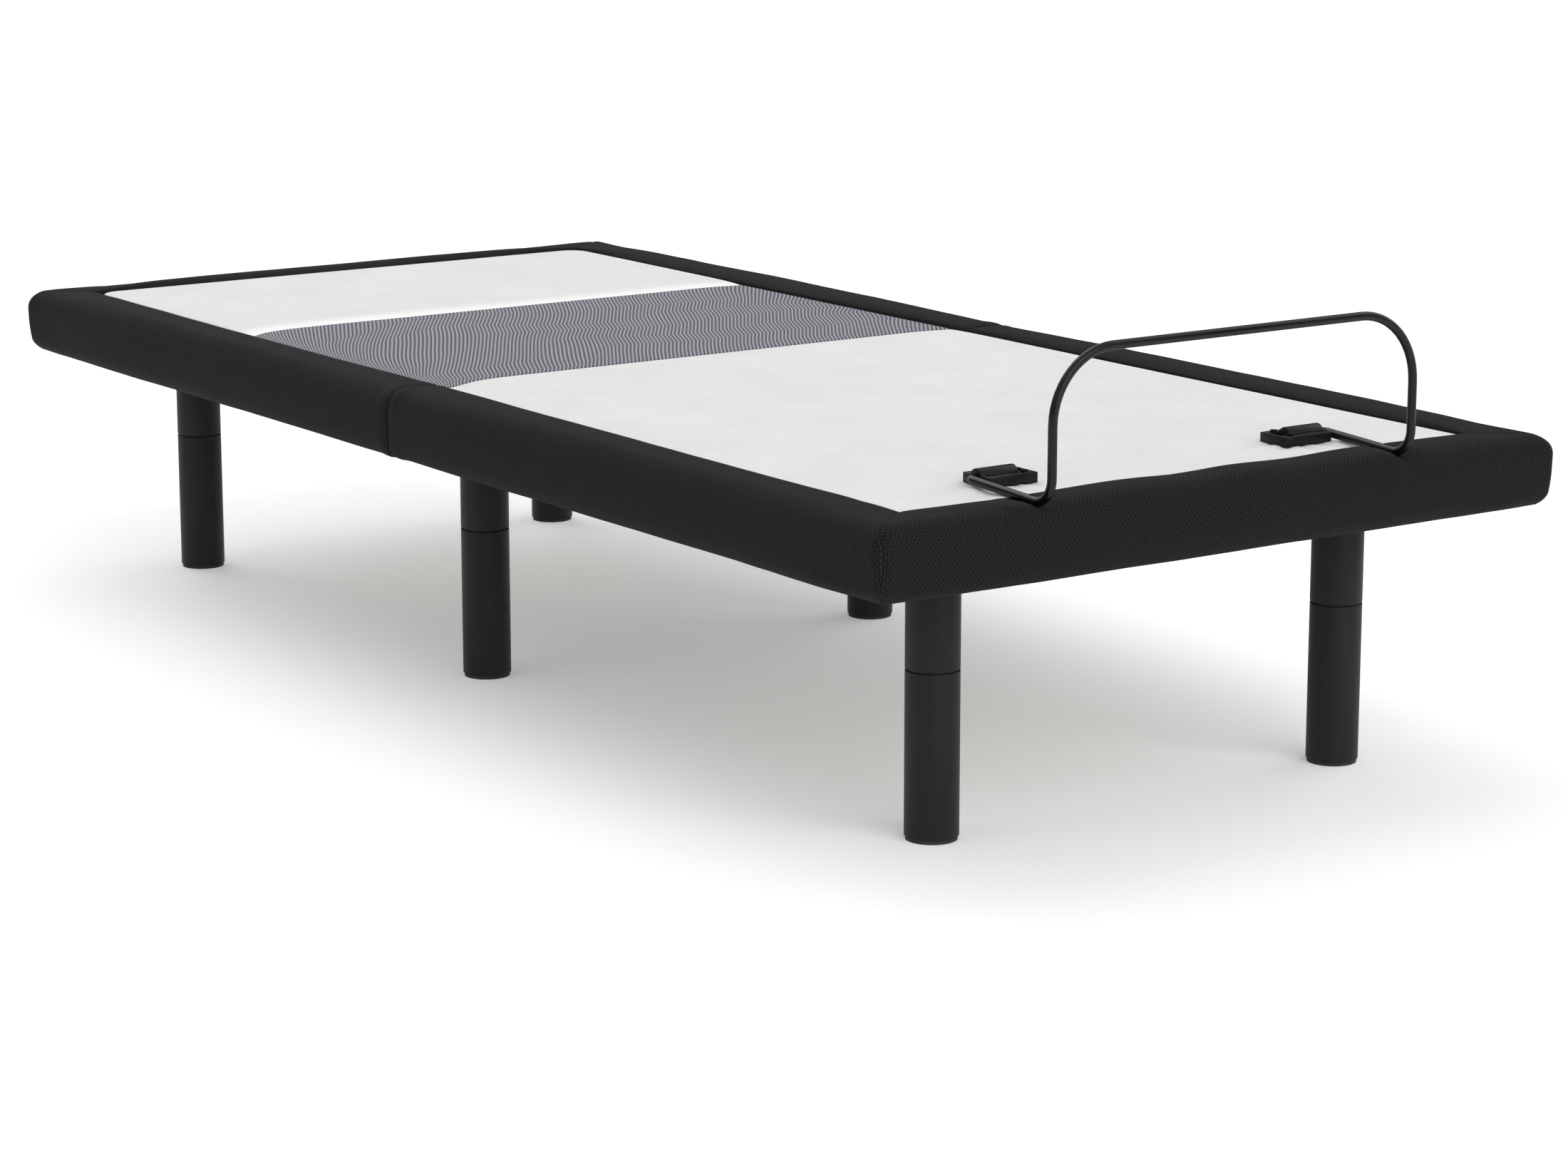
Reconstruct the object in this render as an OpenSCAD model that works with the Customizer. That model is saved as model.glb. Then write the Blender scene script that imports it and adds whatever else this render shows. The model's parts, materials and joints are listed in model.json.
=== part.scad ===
// Adjustable bed base: padded fixed rails on six screw-together legs, with an articulated deck
// between them, two linear drives under the seat and a mattress retainer bar at the foot.
// Origin: floor level, middle of the footprint. +X width, +Y towards the head, +Z up.

/* [Bed] */
// Overall width over the padded rails
bed_w = 944; // [940:1:950]
// Overall length over the padded rails
bed_l = 2020; // [2010:1:2040]
// Height of the underside of the rails above the floor
leg_h = 306; // [290:1:330]
// Height of the padded rails
rail_h = 80; // [78:1:84]
// Distance from the outside of a side rail to the deck
side_border = 75; // [74:0.5:76]
// Distance from the foot end to the deck
foot_border = 70.5; // [68:0.5:74]
// Distance from the head end to the deck
head_border = 56.5; // [55:0.5:60]
// Large radius along the rails' upper outer edge
rail_top_r = 28; // [22:1:30]
// Smaller radius along the rails' lower outer edge
rail_low_r = 16; // [12:1:18]

/* [Deck] */
// Gap between the deck and the rails
deck_gap = 3; // [2:0.5:4]
// Drop of the deck below the rail tops
deck_drop = 3; // [2:0.5:4]
// Thickness of the soft layer on the boards
pad_t = 6; // [4:1:8]
// Thickness of the boards
board_t = 15; // [12:1:18]
// Place of the back section's hinge along the bed
back_hinge_y = 242; // [236:1:248]
// Place of the thigh section's hinge along the bed
thigh_hinge_y = -20; // [-24:1:-18]
// Length of the thigh section, hinge to knee
thigh_l = 370; // [368:1:372]
// Where the ribbed band stops and the head panel starts
band_top_y = 521; // [500:1:530]
// Where the foot panel stops and the ribbed band starts
band_low_y = 33; // [10:1:60]
// Where the head and foot halves of the rails meet
split_y = -15; // [-17:1:-13]

/* [Lift] */
// Radius of the rollers that lift the sections
roller_r = 18; // [17:0.5:19]
// Length of the arms that lift the back section
back_arm = 280; // [270:1:285]
// Length of the arms that lift the thigh section
thigh_arm = 150; // [146:1:152]
// Length of the horns that the drives push
horn = 60; // [58:1:61]
// Largest tilt of the back section
back_max = 60; // [50:1:60]
// Largest tilt of the thigh section
thigh_max = 38; // [30:1:38]

/* [Legs] */
// Radius of a leg
leg_r = 30; // [26:1:32]
// Height of the joint between a leg's two lengths
leg_joint_z = 189; // [180:1:200]
// Sideways place of the corner legs
leg_x = 288; // [280:1:300]
// Sideways place of the middle legs
mid_leg_x = 296; // [280:1:300]
// Place of the legs at the foot end
foot_leg_y = -853; // [-856:1:-850]
// Place of the middle legs
mid_leg_y = 66; // [64:1:68]
// Place of the legs at the head end
head_leg_y = 859; // [856:1:862]

/* [Retainer bar] */
// Diameter of the rod
rod_d = 10; // [8:0.5:10]
// Half of the bar's width, to the rod's centre
bar_x = 251; // [240:1:260]
// Height of the bar's top above its hinge
bar_rise = 155; // [130:1:170]
// Radius of the bar's large upper bends
bar_bend_r = 78; // [60:1:90]
// Distance of the upright part from the foot end
bar_inset = 5; // [5:0.5:12]
// Distance of the bar's hinge from the foot end
bar_hinge_in = 145; // [140:1:150]

/* [Hidden] */
$fn = 48;
e = 0.01;

rail_top = leg_h + rail_h;
deck_top = rail_top - deck_drop;
board_top = deck_top - pad_t;
board_low = board_top - board_t;
frame_t = 10;
track_z = board_low - frame_t;
pivot_z = track_z - roller_r;

half_w = bed_w / 2;
half_l = bed_l / 2;
inner_x = half_w - side_border;
inner_foot = -half_l + foot_border;
inner_head = half_l - head_border;
deck_x = inner_x - deck_gap;
deck_foot = inner_foot + deck_gap;
deck_head = inner_head - deck_gap;
corner_r = 14;

rail_tube_w = 30;
rail_tube_h = 60;
tube_wall = 2;
tube_x = inner_x + 13;
foot_tube_y = inner_foot - 13 - rail_tube_w;
head_tube_y = inner_head + 12;
lip_z = leg_h + 44;

back_gap = 30;
thigh_gap = 19;
knee_gap = 4;
knee_y = thigh_hinge_y - thigh_l;

cross_w = 40;
cross_h = 40;
flat_h = 20;
end_plate = 4;
hinge_cross_y = back_hinge_y - 60;
link_cross_y = knee_y - 40;

track_x = 215;
track_w = 40;
ear_x = 300;
ear_t = 6;
ear_l = 12;
ear_root = 4.5;
fork_gap = 0.5;
fork_t = 5;
pin_r = 5.95;
pin_bore = 6;
pin_head_r = 9;
eye_r = 12;
riser_x = 175;
riser_w = 30;

torque_r = 13;
torque_bore = 10.5;
torque_half = inner_x - 1;
bush_r = 17;
bush_x = inner_x - 13;
bush_w = 12;
arm_x = 200;
arm_t = 8;
arm_w = 22;
arm_eye_r = 17;
arm_end_r = 13;
axle_r = 6;
roller_w = 20;
head_axis_y = back_hinge_y + back_arm;
foot_axis_y = thigh_hinge_y - thigh_arm;

drive_x = 90;
drive_z = pivot_z - 50;
drive_rod_r = 10;
drive_tube_r = 17;
gear_w = 70;
gear_h = 53;
gear_z = leg_h - 3 - gear_h;
motor_r = 26;
motor_l = 110;
motor_y = 45;
eye_half = 7.7;
drive_pin_r = 4.95;
drive_bore = 5.05;
drive_eye_r = 9;
drive_lug_x = 11;
drive_lug_t = 6;
gear_gap = 16;
gear_l = 104;
back_gear_y = mid_leg_y + gear_gap;
back_tube_y = back_gear_y + gear_l;
back_tube_l = 150;
thigh_gear_y = hinge_cross_y - gear_gap;
thigh_tube_y = thigh_gear_y - gear_l;
thigh_tube_l = 118;
horn_plate = 6;
horn_eye_r = 11;
horn_w = 18;
horn_off = 12;
head_horn_y = head_axis_y - horn * sin(back_max);
foot_horn_y = foot_axis_y + horn * sin(thigh_max);
head_slop = 4.5;
foot_slop = 1.5;

link_x = 330;
link_z = pivot_z + 1;
link_pin_r = 5;
link_eye_r = 9;
link_w = 14;
link_lug_r = 10;
link_lug_x = 6;
link_lug_t = 4;
link_l = thigh_l;
link_top_y = link_cross_y - link_l;

stud_r = 5;
stud_hole = 5.25;
glide_h = 4;
leg_plate_t = 6;

rod_r = rod_d / 2;
bar_z = rail_top + rod_r + 0.5;
bar_y = -half_l + bar_hinge_in;
up_y = -half_l + bar_inset;
hook_r = 8;
foot_bend_r = 28;
bracket_w = 62;
bracket_d = 46;
bracket_out = bar_x - hook_r - 1;
bracket_base = 12;
hump_r = 10.5;
hump_l = 50;
screw_r = 2.2;
screw_in = 8;
screw_dy = 14;

box_x = 255;
box_w = 88;
box_l = 148;
box_h = 36;
box_y = mid_leg_y + 38;
socket_r = 6;

bolt_hole = 4.2;
cross_bolt_dy = 32;
splice_half = 37;
splice_bolts_dy = [-28, -11, 11, 28];
bolt_z = leg_h + cross_h / 2;
flat_bolt_z = leg_h + flat_h / 2;
leg_rows = [[foot_leg_y, leg_x], [mid_leg_y, mid_leg_x], [head_leg_y, leg_x]];

// Every bolt through the rails' inner walls: [y, z]
bolt_spots = concat(
    [for (y = [head_leg_y, mid_leg_y, foot_leg_y, hinge_cross_y]) for (s = [-1, 1])
        [y + s * cross_bolt_dy, bolt_z]],
    [for (s = [-1, 1]) [link_cross_y + s * cross_bolt_dy, flat_bolt_z]],
    [for (d = splice_bolts_dy) [split_y + d, bolt_z]]);

black = [0.14, 0.14, 0.15];
steel_black = [0.2, 0.2, 0.21];
white = [0.92, 0.92, 0.92];
grey = [0.55, 0.55, 0.58];
birch = [0.78, 0.66, 0.48];
steel = [0.7, 0.7, 0.72];

// ---------------------------------------------------------------- shared shapes

// Cylinder along X from x0 to x1, centred on y, z
module rod_x(x0, x1, y, z, r) {
    translate([x0, y, z]) rotate([0, 90, 0]) cylinder(r = r, h = x1 - x0);
}

// Cylinder along Y from y0 to y1, centred on x, z
module rod_y(y0, y1, x, z, r) {
    translate([x, y0, z]) rotate([-90, 0, 0]) cylinder(r = r, h = y1 - y0);
}

// Box given by its low and high corners
module block(a, b) {
    translate(a) cube(b - a);
}

// A shape and its mirror image across the bed's centre line
module both() {
    children();
    mirror([1, 0, 0]) children();
}

// Flat bar in a plane across X, from one point to another, with a round eye at its start
module strap(x, t, p, q, w, r) {
    run = q - p;
    rod_x(x - t / 2, x + t / 2, p[0], p[1], r);
    translate([x - t / 2, p[0], p[1]]) rotate([atan2(run[1], run[0]), 0, 0])
        translate([0, 0, -w / 2]) cube([t, norm(run), w]);
}

// Hollow square bar along Y
module tube_along_y(x0, y0, y1, z0, w, h) {
    difference() {
        block([x0, y0, z0], [x0 + w, y1, z0 + h]);
        block([x0 + tube_wall, y0 - 1, z0 + tube_wall],
            [x0 + w - tube_wall, y1 + 1, z0 + h - tube_wall]);
    }
}

// Hollow square bar along X
module tube_along_x(x0, x1, y0, z0, w, h) {
    difference() {
        block([x0, y0, z0], [x1, y0 + w, z0 + h]);
        block([x0 - 1, y0 + tube_wall, z0 + tube_wall],
            [x1 + 1, y0 + w - tube_wall, z0 + h - tube_wall]);
    }
}

// ---------------------------------------------------------------- fixed frame

// Holes through the inner walls of both side tubes, between two places along the bed
module rail_holes(y0, y1) {
    for (b = bolt_spots) if (b[0] > y0 && b[0] < y1)
        both() rod_x(tube_x - 1, tube_x + tube_wall + 1, b[0], b[1], bolt_hole);
}

module half_frame(y0, y1, end_y) {
    difference() {
        union() {
            both() tube_along_y(tube_x, y0, y1, leg_h, rail_tube_w, rail_tube_h);
            tube_along_x(-tube_x, tube_x, end_y, leg_h, rail_tube_w, rail_tube_h);
        }
        rail_holes(y0, y1);
    }
}

module head_frame() {
    color(steel_black) half_frame(split_y + 0.25, head_tube_y + rail_tube_w, head_tube_y);
}

module foot_frame() {
    color(steel_black) half_frame(foot_tube_y, split_y - 0.25, foot_tube_y);
}

module frame_splices() {
    color(steel_black) both() difference() {
        block([tube_x - end_plate, split_y - splice_half, leg_h + 2],
            [tube_x, split_y + splice_half, leg_h + 42]);
        for (d = splice_bolts_dy)
            rod_x(tube_x - end_plate - 1, tube_x + 1, split_y + d, bolt_z, bolt_hole);
    }
}

module frame_bolts() {
    head_x = tube_x - end_plate;
    color(steel) both() for (b = bolt_spots) {
        rod_x(head_x - e, tube_x + tube_wall + 4, b[0], b[1], 4);
        translate([head_x - 5.5, b[0], b[1]]) rotate([0, 90, 0]) cylinder(r = 7.5, h = 5.5, $fn = 6);
    }
}

// Cross member between the side tubes, with a bolted plate at each end
module cross_member(y, h) {
    difference() {
        union() {
            tube_along_x(-tube_x + end_plate, tube_x - end_plate, y - cross_w / 2, leg_h, cross_w, h);
            both() block([tube_x - end_plate, y - 42, leg_h], [tube_x, y + 42, leg_h + h]);
        }
        for (s = [-1, 1])
            both() rod_x(tube_x - end_plate - 1, tube_x + 1, y + s * cross_bolt_dy, leg_h + h / 2,
                bolt_hole);
    }
}

module leg_cross_member(y, x) {
    difference() {
        cross_member(y, cross_h);
        both() translate([x, y, leg_h - 1]) cylinder(r = stud_hole, h = tube_wall + 2);
    }
}

// Blocks that carry the fixed seat board
module seat_risers(y) {
    both() block([riser_x - riser_w / 2, y - cross_w / 2, leg_h + cross_h],
        [riser_x + riser_w / 2, y + cross_w / 2, board_low]);
}

// Fork whose two plates hold a hinge pin beside a section's ear
module pin_fork(x, y0, y, z) {
    off = (ear_t + fork_t) / 2 + fork_gap;
    for (s = [-1, 1]) difference() {
        union() {
            block([x + s * off - fork_t / 2, min(y0, y), z - eye_r],
                [x + s * off + fork_t / 2, max(y0, y), z + eye_r]);
            rod_x(x + s * off - fork_t / 2, x + s * off + fork_t / 2, y, z, eye_r);
        }
        rod_x(x - 20, x + 20, y, z, pin_bore);
    }
}

// Hanging fork that holds the rear eye of a drive
module drive_fork(x, y) {
    for (s = [-1, 1]) difference() {
        union() {
            block([x + s * drive_lug_x - drive_lug_t / 2, y - eye_r, drive_z - eye_r],
                [x + s * drive_lug_x + drive_lug_t / 2, y + eye_r, leg_h]);
            rod_x(x + s * (drive_lug_x + drive_lug_t) - drive_lug_t / 2,
                x + s * (drive_lug_x + drive_lug_t) + drive_lug_t / 2, y, drive_z, drive_eye_r);
        }
        rod_x(x - 30, x + 30, y, drive_z, 5);
    }
}

module head_cross_member() {
    color(steel_black) leg_cross_member(head_leg_y, leg_x);
}

module foot_cross_member() {
    color(steel_black) leg_cross_member(foot_leg_y, leg_x);
}

module mid_cross_member() {
    color(steel_black) {
        leg_cross_member(mid_leg_y, mid_leg_x);
        seat_risers(mid_leg_y);
        both() pin_fork(ear_x, mid_leg_y - cross_w / 2, thigh_hinge_y, pivot_z);
        drive_fork(-drive_x, mid_leg_y);
    }
}

module hinge_cross_member() {
    color(steel_black) {
        cross_member(hinge_cross_y, cross_h);
        seat_risers(hinge_cross_y);
        both() pin_fork(ear_x, hinge_cross_y + cross_w / 2, back_hinge_y, pivot_z);
        drive_fork(drive_x, hinge_cross_y);
    }
}

// One of the two lugs beside a link's end, standing on or hanging from z
module link_lug(s, y, z) {
    x = link_x + s * link_lug_x;
    block([x - link_lug_t / 2, y - link_lug_r, min(z, link_z)],
        [x + link_lug_t / 2, y + link_lug_r, max(z, link_z)]);
    rod_x(x - link_lug_t / 2, x + link_lug_t / 2, y, link_z, link_lug_r);
}

// Low cross member that carries the fixed ends of the calf links
module link_cross_member() {
    color(steel_black) {
        cross_member(link_cross_y, flat_h);
        both() for (s = [-1, 1]) difference() {
            link_lug(s, link_cross_y, leg_h + flat_h);
            rod_x(link_x - 20, link_x + 20, link_cross_y, link_z, link_pin_r + 0.05);
        }
    }
}

// ---------------------------------------------------------------- legs

module leg_mount_plates() {
    color(steel_black) for (row = leg_rows) both() difference() {
        block([row[1] - 50, row[0] - 34, leg_h - leg_plate_t], [row[1] + 50, row[0] + 34, leg_h]);
        translate([row[1], row[0], leg_h - leg_plate_t - 1]) cylinder(r = stud_hole, h = leg_plate_t + 2);
    }
}

// Upper length of a leg with its two threaded studs
module upper_leg(x, y) {
    top = leg_h - leg_plate_t;
    color(black) translate([x, y, 0]) {
        translate([0, 0, leg_joint_z]) cylinder(r = leg_r, h = top - leg_joint_z);
        translate([0, 0, top - e]) cylinder(r = stud_r, h = 24);
        translate([0, 0, leg_joint_z - 20]) cylinder(r = stud_r, h = 20 + e);
    }
}

// Lower length of a leg, with the socket that takes the upper length's stud
module lower_leg(x, y) {
    color(black) translate([x, y, 0]) difference() {
        translate([0, 0, glide_h]) union() {
            cylinder(r = leg_r, h = leg_joint_z - 1.2 - glide_h);
            cylinder(r = leg_r - 1.5, h = leg_joint_z - glide_h);
        }
        translate([0, 0, leg_joint_z - 24]) cylinder(r = stud_hole, h = 25);
    }
}

module leg_glides() {
    color(black) for (row = leg_rows) both()
        translate([row[1], row[0], 0]) cylinder(r = leg_r - 1.5, h = glide_h);
}

// ---------------------------------------------------------------- padded rails

// Outline of the rails seen end on: large radius above, smaller radius below
module rail_profile(half) {
    difference() {
        translate([-half, leg_h]) square([2 * half, rail_h]);
        for (s = [-1, 1]) {
            translate([s * half, rail_top]) difference() {
                square(2 * rail_top_r, center = true);
                translate([-s * rail_top_r, -rail_top_r]) circle(r = rail_top_r);
            }
            translate([s * half, leg_h]) difference() {
                square(2 * rail_low_r, center = true);
                translate([-s * rail_low_r, rail_low_r]) circle(r = rail_low_r);
            }
        }
    }
}

// Plan outline of the whole base with small round corners
module plan_outline() {
    square([bed_w - 2 * corner_r, bed_l], center = true);
    square([bed_w, bed_l - 2 * corner_r], center = true);
    for (sx = [-1, 1]) for (sy = [-1, 1])
        translate([sx * (half_w - corner_r), sy * (half_l - corner_r)]) circle(r = corner_r);
}

// Both padded rails before they are split: rounded outside, open inside, hollow for the frame
module rail_ring() {
    difference() {
        intersection() {
            translate([0, half_l, 0]) rotate([90, 0, 0]) linear_extrude(bed_l) rail_profile(half_w);
            translate([-half_w, 0, 0]) rotate([90, 0, 90]) linear_extrude(bed_w) rail_profile(half_l);
            translate([0, 0, leg_h]) linear_extrude(rail_h) plan_outline();
        }
        block([-inner_x, inner_foot, leg_h - 1], [inner_x, inner_head, rail_top + 1]);
        block([-tube_x - rail_tube_w, foot_tube_y, leg_h - 1],
            [tube_x + rail_tube_w, head_tube_y + rail_tube_w, leg_h + rail_tube_h]);
        block([-tube_x, foot_tube_y + rail_tube_w - 1, leg_h - 1],
            [tube_x, head_tube_y + 1, lip_z]);
    }
}

// The foam lip that stands between the frame tubes and the deck
module rail_lip(y0, y1, end_y0, end_y1) {
    both() block([inner_x, y0, lip_z], [tube_x, y1, leg_h + rail_tube_h + e]);
    block([-tube_x, end_y0, lip_z], [tube_x, end_y1, leg_h + rail_tube_h + e]);
}

module head_rail_wrap() {
    color(black) union() {
        intersection() {
            rail_ring();
            block([-bed_w, split_y + 0.5, 0], [bed_w, bed_l, bed_l]);
        }
        rail_lip(split_y + 0.5, head_tube_y, inner_head, head_tube_y);
    }
}

module foot_rail_wrap() {
    color(black) union() {
        intersection() {
            rail_ring();
            block([-bed_w, -bed_l, 0], [bed_w, split_y - 0.5, bed_l]);
        }
        rail_lip(foot_tube_y + rail_tube_w, split_y - 0.5, foot_tube_y + rail_tube_w, inner_foot);
    }
}

// ---------------------------------------------------------------- deck

module deck_board(y0, y1) {
    block([-deck_x, y0, board_low], [deck_x, y1, board_top]);
}

module deck_pad(y0, y1) {
    block([-deck_x, y0, board_top], [deck_x, y1, deck_top]);
}

// Flat bars under a section, seen in plan: two tracks and two cross bars
module section_frame(x, w, y0, y1, bar_y0, bar_y1, half) {
    both() block([x - w / 2, y0, track_z], [x + w / 2, y1, board_low]);
    for (y = [bar_y0, bar_y1]) block([-half, y - 20, track_z], [half, y + 20, board_low]);
}

module seat_board() {
    color(birch) deck_board(thigh_hinge_y + thigh_gap, back_hinge_y - back_gap);
}

module seat_pad() {
    color(grey) deck_pad(band_low_y + 0.3, back_hinge_y - back_gap);
}

// Head end of the foot panel's white cloth, on the seat
module seat_front_pad() {
    color(white) deck_pad(thigh_hinge_y + thigh_gap, band_low_y);
}

// Pin with a flat head, on the right side
module hinge_pin(y) {
    rod_x(ear_x - 10, ear_x + 10, y, pivot_z, pin_r);
    rod_x(ear_x + 10 - e, ear_x + 13, y, pivot_z, pin_head_r);
}

// Pins of the back and thigh hinges
module hinge_pins() {
    color(steel) for (y = [back_hinge_y, thigh_hinge_y]) both() hinge_pin(y);
}

module back_board() {
    color(birch) deck_board(back_hinge_y + back_gap, deck_head);
}

module back_frame() {
    near = back_hinge_y + 60;
    far = deck_head - 40;
    color(steel_black) difference() {
        union() {
            section_frame(track_x, track_w, near, far, near, far, 330);
            both() strap(ear_x, ear_t, [back_hinge_y, pivot_z], [near, track_z + 4], ear_l, eye_r);
        }
        both() rod_x(ear_x - 20, ear_x + 20, back_hinge_y, pivot_z, pin_bore);
    }
}

module back_band_pad() {
    color(grey) deck_pad(back_hinge_y + back_gap, band_top_y);
}

module head_pad() {
    color(white) deck_pad(band_top_y + 0.3, deck_head);
}

module thigh_board() {
    color(birch) deck_board(knee_y + knee_gap, thigh_hinge_y - thigh_gap);
}

module thigh_frame() {
    near = thigh_hinge_y - 42;
    far = knee_y + 32;
    color(steel_black) difference() {
        union() {
            section_frame(track_x, track_w, far, near, near, far, 320);
            both() strap(ear_x, ear_t, [thigh_hinge_y, pivot_z], [near, track_z + ear_root], ear_l, eye_r);
            both() strap(ear_x, ear_t, [knee_y, pivot_z], [far, track_z + ear_root], ear_l, eye_r);
        }
        both() rod_x(ear_x - 20, ear_x + 20, thigh_hinge_y, pivot_z, pin_bore);
        both() rod_x(ear_x - 20, ear_x + 20, knee_y, pivot_z, pin_bore);
    }
}

module thigh_pad() {
    color(white) deck_pad(knee_y + knee_gap, thigh_hinge_y - thigh_gap);
}

module knee_pins() {
    color(steel) both() hinge_pin(knee_y);
}

// Places of the bracket screws on the calf section
module screw_holes(r) {
    for (s = [-1, 1]) both()
        translate([bracket_out - bracket_w + screw_in, bar_y + s * screw_dy, board_low - 1])
            cylinder(r = r, h = board_t + pad_t + 2);
}

module calf_board() {
    color(birch) difference() {
        deck_board(deck_foot, knee_y - knee_gap);
        screw_holes(screw_r + 0.1);
    }
}

module calf_frame() {
    near = knee_y - 32;
    off = (ear_t + fork_t) / 2 + fork_gap;
    color(steel_black) difference() {
        union() {
            section_frame(ear_x - 10, 30, deck_foot + 16, near, near, link_top_y, 345);
            both() for (s = [-1, 1]) {
                strap(ear_x + s * off, fork_t, [knee_y, pivot_z], [near, track_z + 4], ear_l, eye_r);
                link_lug(s, link_top_y, track_z + e);
            }
        }
        both() rod_x(ear_x - 20, ear_x + 20, knee_y, pivot_z, pin_bore);
        both() rod_x(link_x - 20, link_x + 20, link_top_y, link_z, link_pin_r + 0.3);
    }
}

module calf_pad() {
    color(white) difference() {
        deck_pad(deck_foot, knee_y - knee_gap);
        screw_holes(screw_r + 0.1);
    }
}

// Link that keeps the calf section level, with a pin through each end
module calf_link(s) {
    x = s * link_x;
    color(steel_black) union() {
        strap(x, ear_t, [link_cross_y, link_z], [link_top_y, link_z], link_w, link_eye_r);
        rod_x(x - ear_t / 2, x + ear_t / 2, link_top_y, link_z, link_eye_r);
        for (y = [link_cross_y, link_top_y]) rod_x(x - 9, x + 9, y, link_z, link_pin_r);
    }
}

module calf_link_left() { calf_link(-1); }
module calf_link_right() { calf_link(1); }

// ---------------------------------------------------------------- lift tubes

module bearing_brackets() {
    color(steel_black) for (y = [head_axis_y, foot_axis_y]) both() difference() {
        union() {
            block([bush_x, y - 25, leg_h + 4], [tube_x, y + 25, lip_z - 1]);
            rod_x(bush_x, bush_x + bush_w, y, pivot_z, 22);
        }
        rod_x(bush_x - 1, bush_x + bush_w + 1, y, pivot_z, bush_r);
    }
}

module tube_bushes() {
    color(white) for (y = [head_axis_y, foot_axis_y]) both() difference() {
        rod_x(bush_x, bush_x + bush_w, y, pivot_z, bush_r - 0.05);
        rod_x(bush_x - 1, bush_x + bush_w + 1, y, pivot_z, torque_r + 0.06);
    }
}

// Torque tube with two roller arms and one horn; dir is where its arms point along Y
module lift_tube(y, arm, dir, horn_x, horn_angle) {
    far = y + dir * arm;
    pin = [y + horn * sin(horn_angle), pivot_z - horn * cos(horn_angle)];
    difference() {
        union() {
            rod_x(-torque_half, torque_half, y, pivot_z, torque_r);
            both() {
                strap(arm_x, arm_t, [y, pivot_z], [far, pivot_z], arm_w, arm_eye_r);
                rod_x(arm_x - arm_t / 2, arm_x + arm_t / 2, far, pivot_z, arm_end_r);
                rod_x(arm_x, arm_x + arm_t / 2 + roller_w + 3, far, pivot_z, axle_r);
            }
            for (s = [-1, 1]) {
                x = horn_x + s * (horn_off + horn_plate / 2);
                strap(x, horn_plate, [y, pivot_z], pin, horn_w, horn_w);
                rod_x(x - horn_plate / 2, x + horn_plate / 2, pin[0], pin[1], horn_eye_r);
            }
            rod_x(horn_x - horn_off - horn_plate, horn_x + horn_off + horn_plate, pin[0], pin[1], axle_r);
        }
        rod_x(-torque_half - 1, torque_half + 1, y, pivot_z, torque_bore);
    }
}

module back_lift_tube() {
    color(steel_black) lift_tube(head_axis_y, back_arm, 1, -drive_x, -back_max);
}

module thigh_lift_tube() {
    color(steel_black) lift_tube(foot_axis_y, thigh_arm, -1, drive_x, thigh_max);
}

// Roller on the end of an arm, with a raised hub
module roller(s, y) {
    x0 = arm_x + arm_t / 2 + 1;
    color(white) mirror([s < 0 ? 1 : 0, 0, 0]) difference() {
        union() {
            rod_x(x0 + 1, x0 + roller_w - 1, y, pivot_z, roller_r - 0.3);
            rod_x(x0, x0 + roller_w, y, pivot_z, 10);
        }
        rod_x(x0 - 1, x0 + roller_w + 1, y, pivot_z, axle_r + 0.06);
    }
}

module back_roller_left() { roller(-1, head_axis_y + back_arm); }
module back_roller_right() { roller(1, head_axis_y + back_arm); }
module thigh_roller_left() { roller(-1, foot_axis_y - thigh_arm); }
module thigh_roller_right() { roller(1, foot_axis_y - thigh_arm); }

// ---------------------------------------------------------------- drives

// Gear housing with its motor, built from y towards dir; side is where the motor points
module drive_motor(x, y, dir, side) {
    y0 = min(y, y + dir * gear_l);
    eye = y - dir * gear_gap;
    my = y + dir * motor_y;
    difference() {
        union() {
            block([x - gear_w / 2, y0, gear_z], [x + gear_w / 2, y0 + gear_l, gear_z + gear_h]);
            block([x - eye_half, min(eye, y), drive_z - drive_eye_r],
                [x + eye_half, max(eye, y), drive_z + drive_eye_r]);
            rod_x(x - eye_half, x + eye_half, eye, drive_z, drive_eye_r);
            rod_x(x + min(0, side * (gear_w / 2 + motor_l)), x + max(0, side * (gear_w / 2 + motor_l)),
                my, gear_z + motor_r, motor_r);
        }
        rod_x(x - 20, x + 20, eye, drive_z, drive_bore);
    }
    rod_x(x - 21, x + 21, eye, drive_z, drive_pin_r);
}

module drive_tube(x, y, dir, len) {
    y0 = min(y, y + dir * len);
    difference() {
        rod_y(y0, y0 + len, x, drive_z, drive_tube_r);
        rod_y(y0 - 1, y0 + len + 1, x, drive_z, drive_rod_r + 0.06);
    }
}

// Push rod with an upright slotted yoke that drives a horn's pin
module drive_rod(x, tail, pin_y, dir, slop, low) {
    half = axle_r + slop;
    wall = 8;
    edge = pin_y - dir * (half + wall);
    top = pivot_z - horn * low + axle_r + 1.5;
    bottom = pivot_z - horn - axle_r - 1.5;
    rod_y(min(tail, edge + dir), max(tail, edge + dir), x, drive_z, drive_rod_r);
    difference() {
        block([x - 6, pin_y - half - wall, bottom - wall], [x + 6, pin_y + half + wall, top + 5]);
        block([x - 7, pin_y - half, bottom + half], [x + 7, pin_y + half, top - 1]);
        rod_x(x - 7, x + 7, pin_y, bottom + half, half);
    }
}

module back_drive_motor() {
    color(steel_black) drive_motor(-drive_x, back_gear_y, 1, -1);
}

module thigh_drive_motor() {
    color(steel_black) drive_motor(drive_x, thigh_gear_y, -1, 1);
}

module back_drive_tube() {
    color(steel_black) drive_tube(-drive_x, back_tube_y, 1, back_tube_l);
}

module thigh_drive_tube() {
    color(steel_black) drive_tube(drive_x, thigh_tube_y, -1, thigh_tube_l);
}

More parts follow.
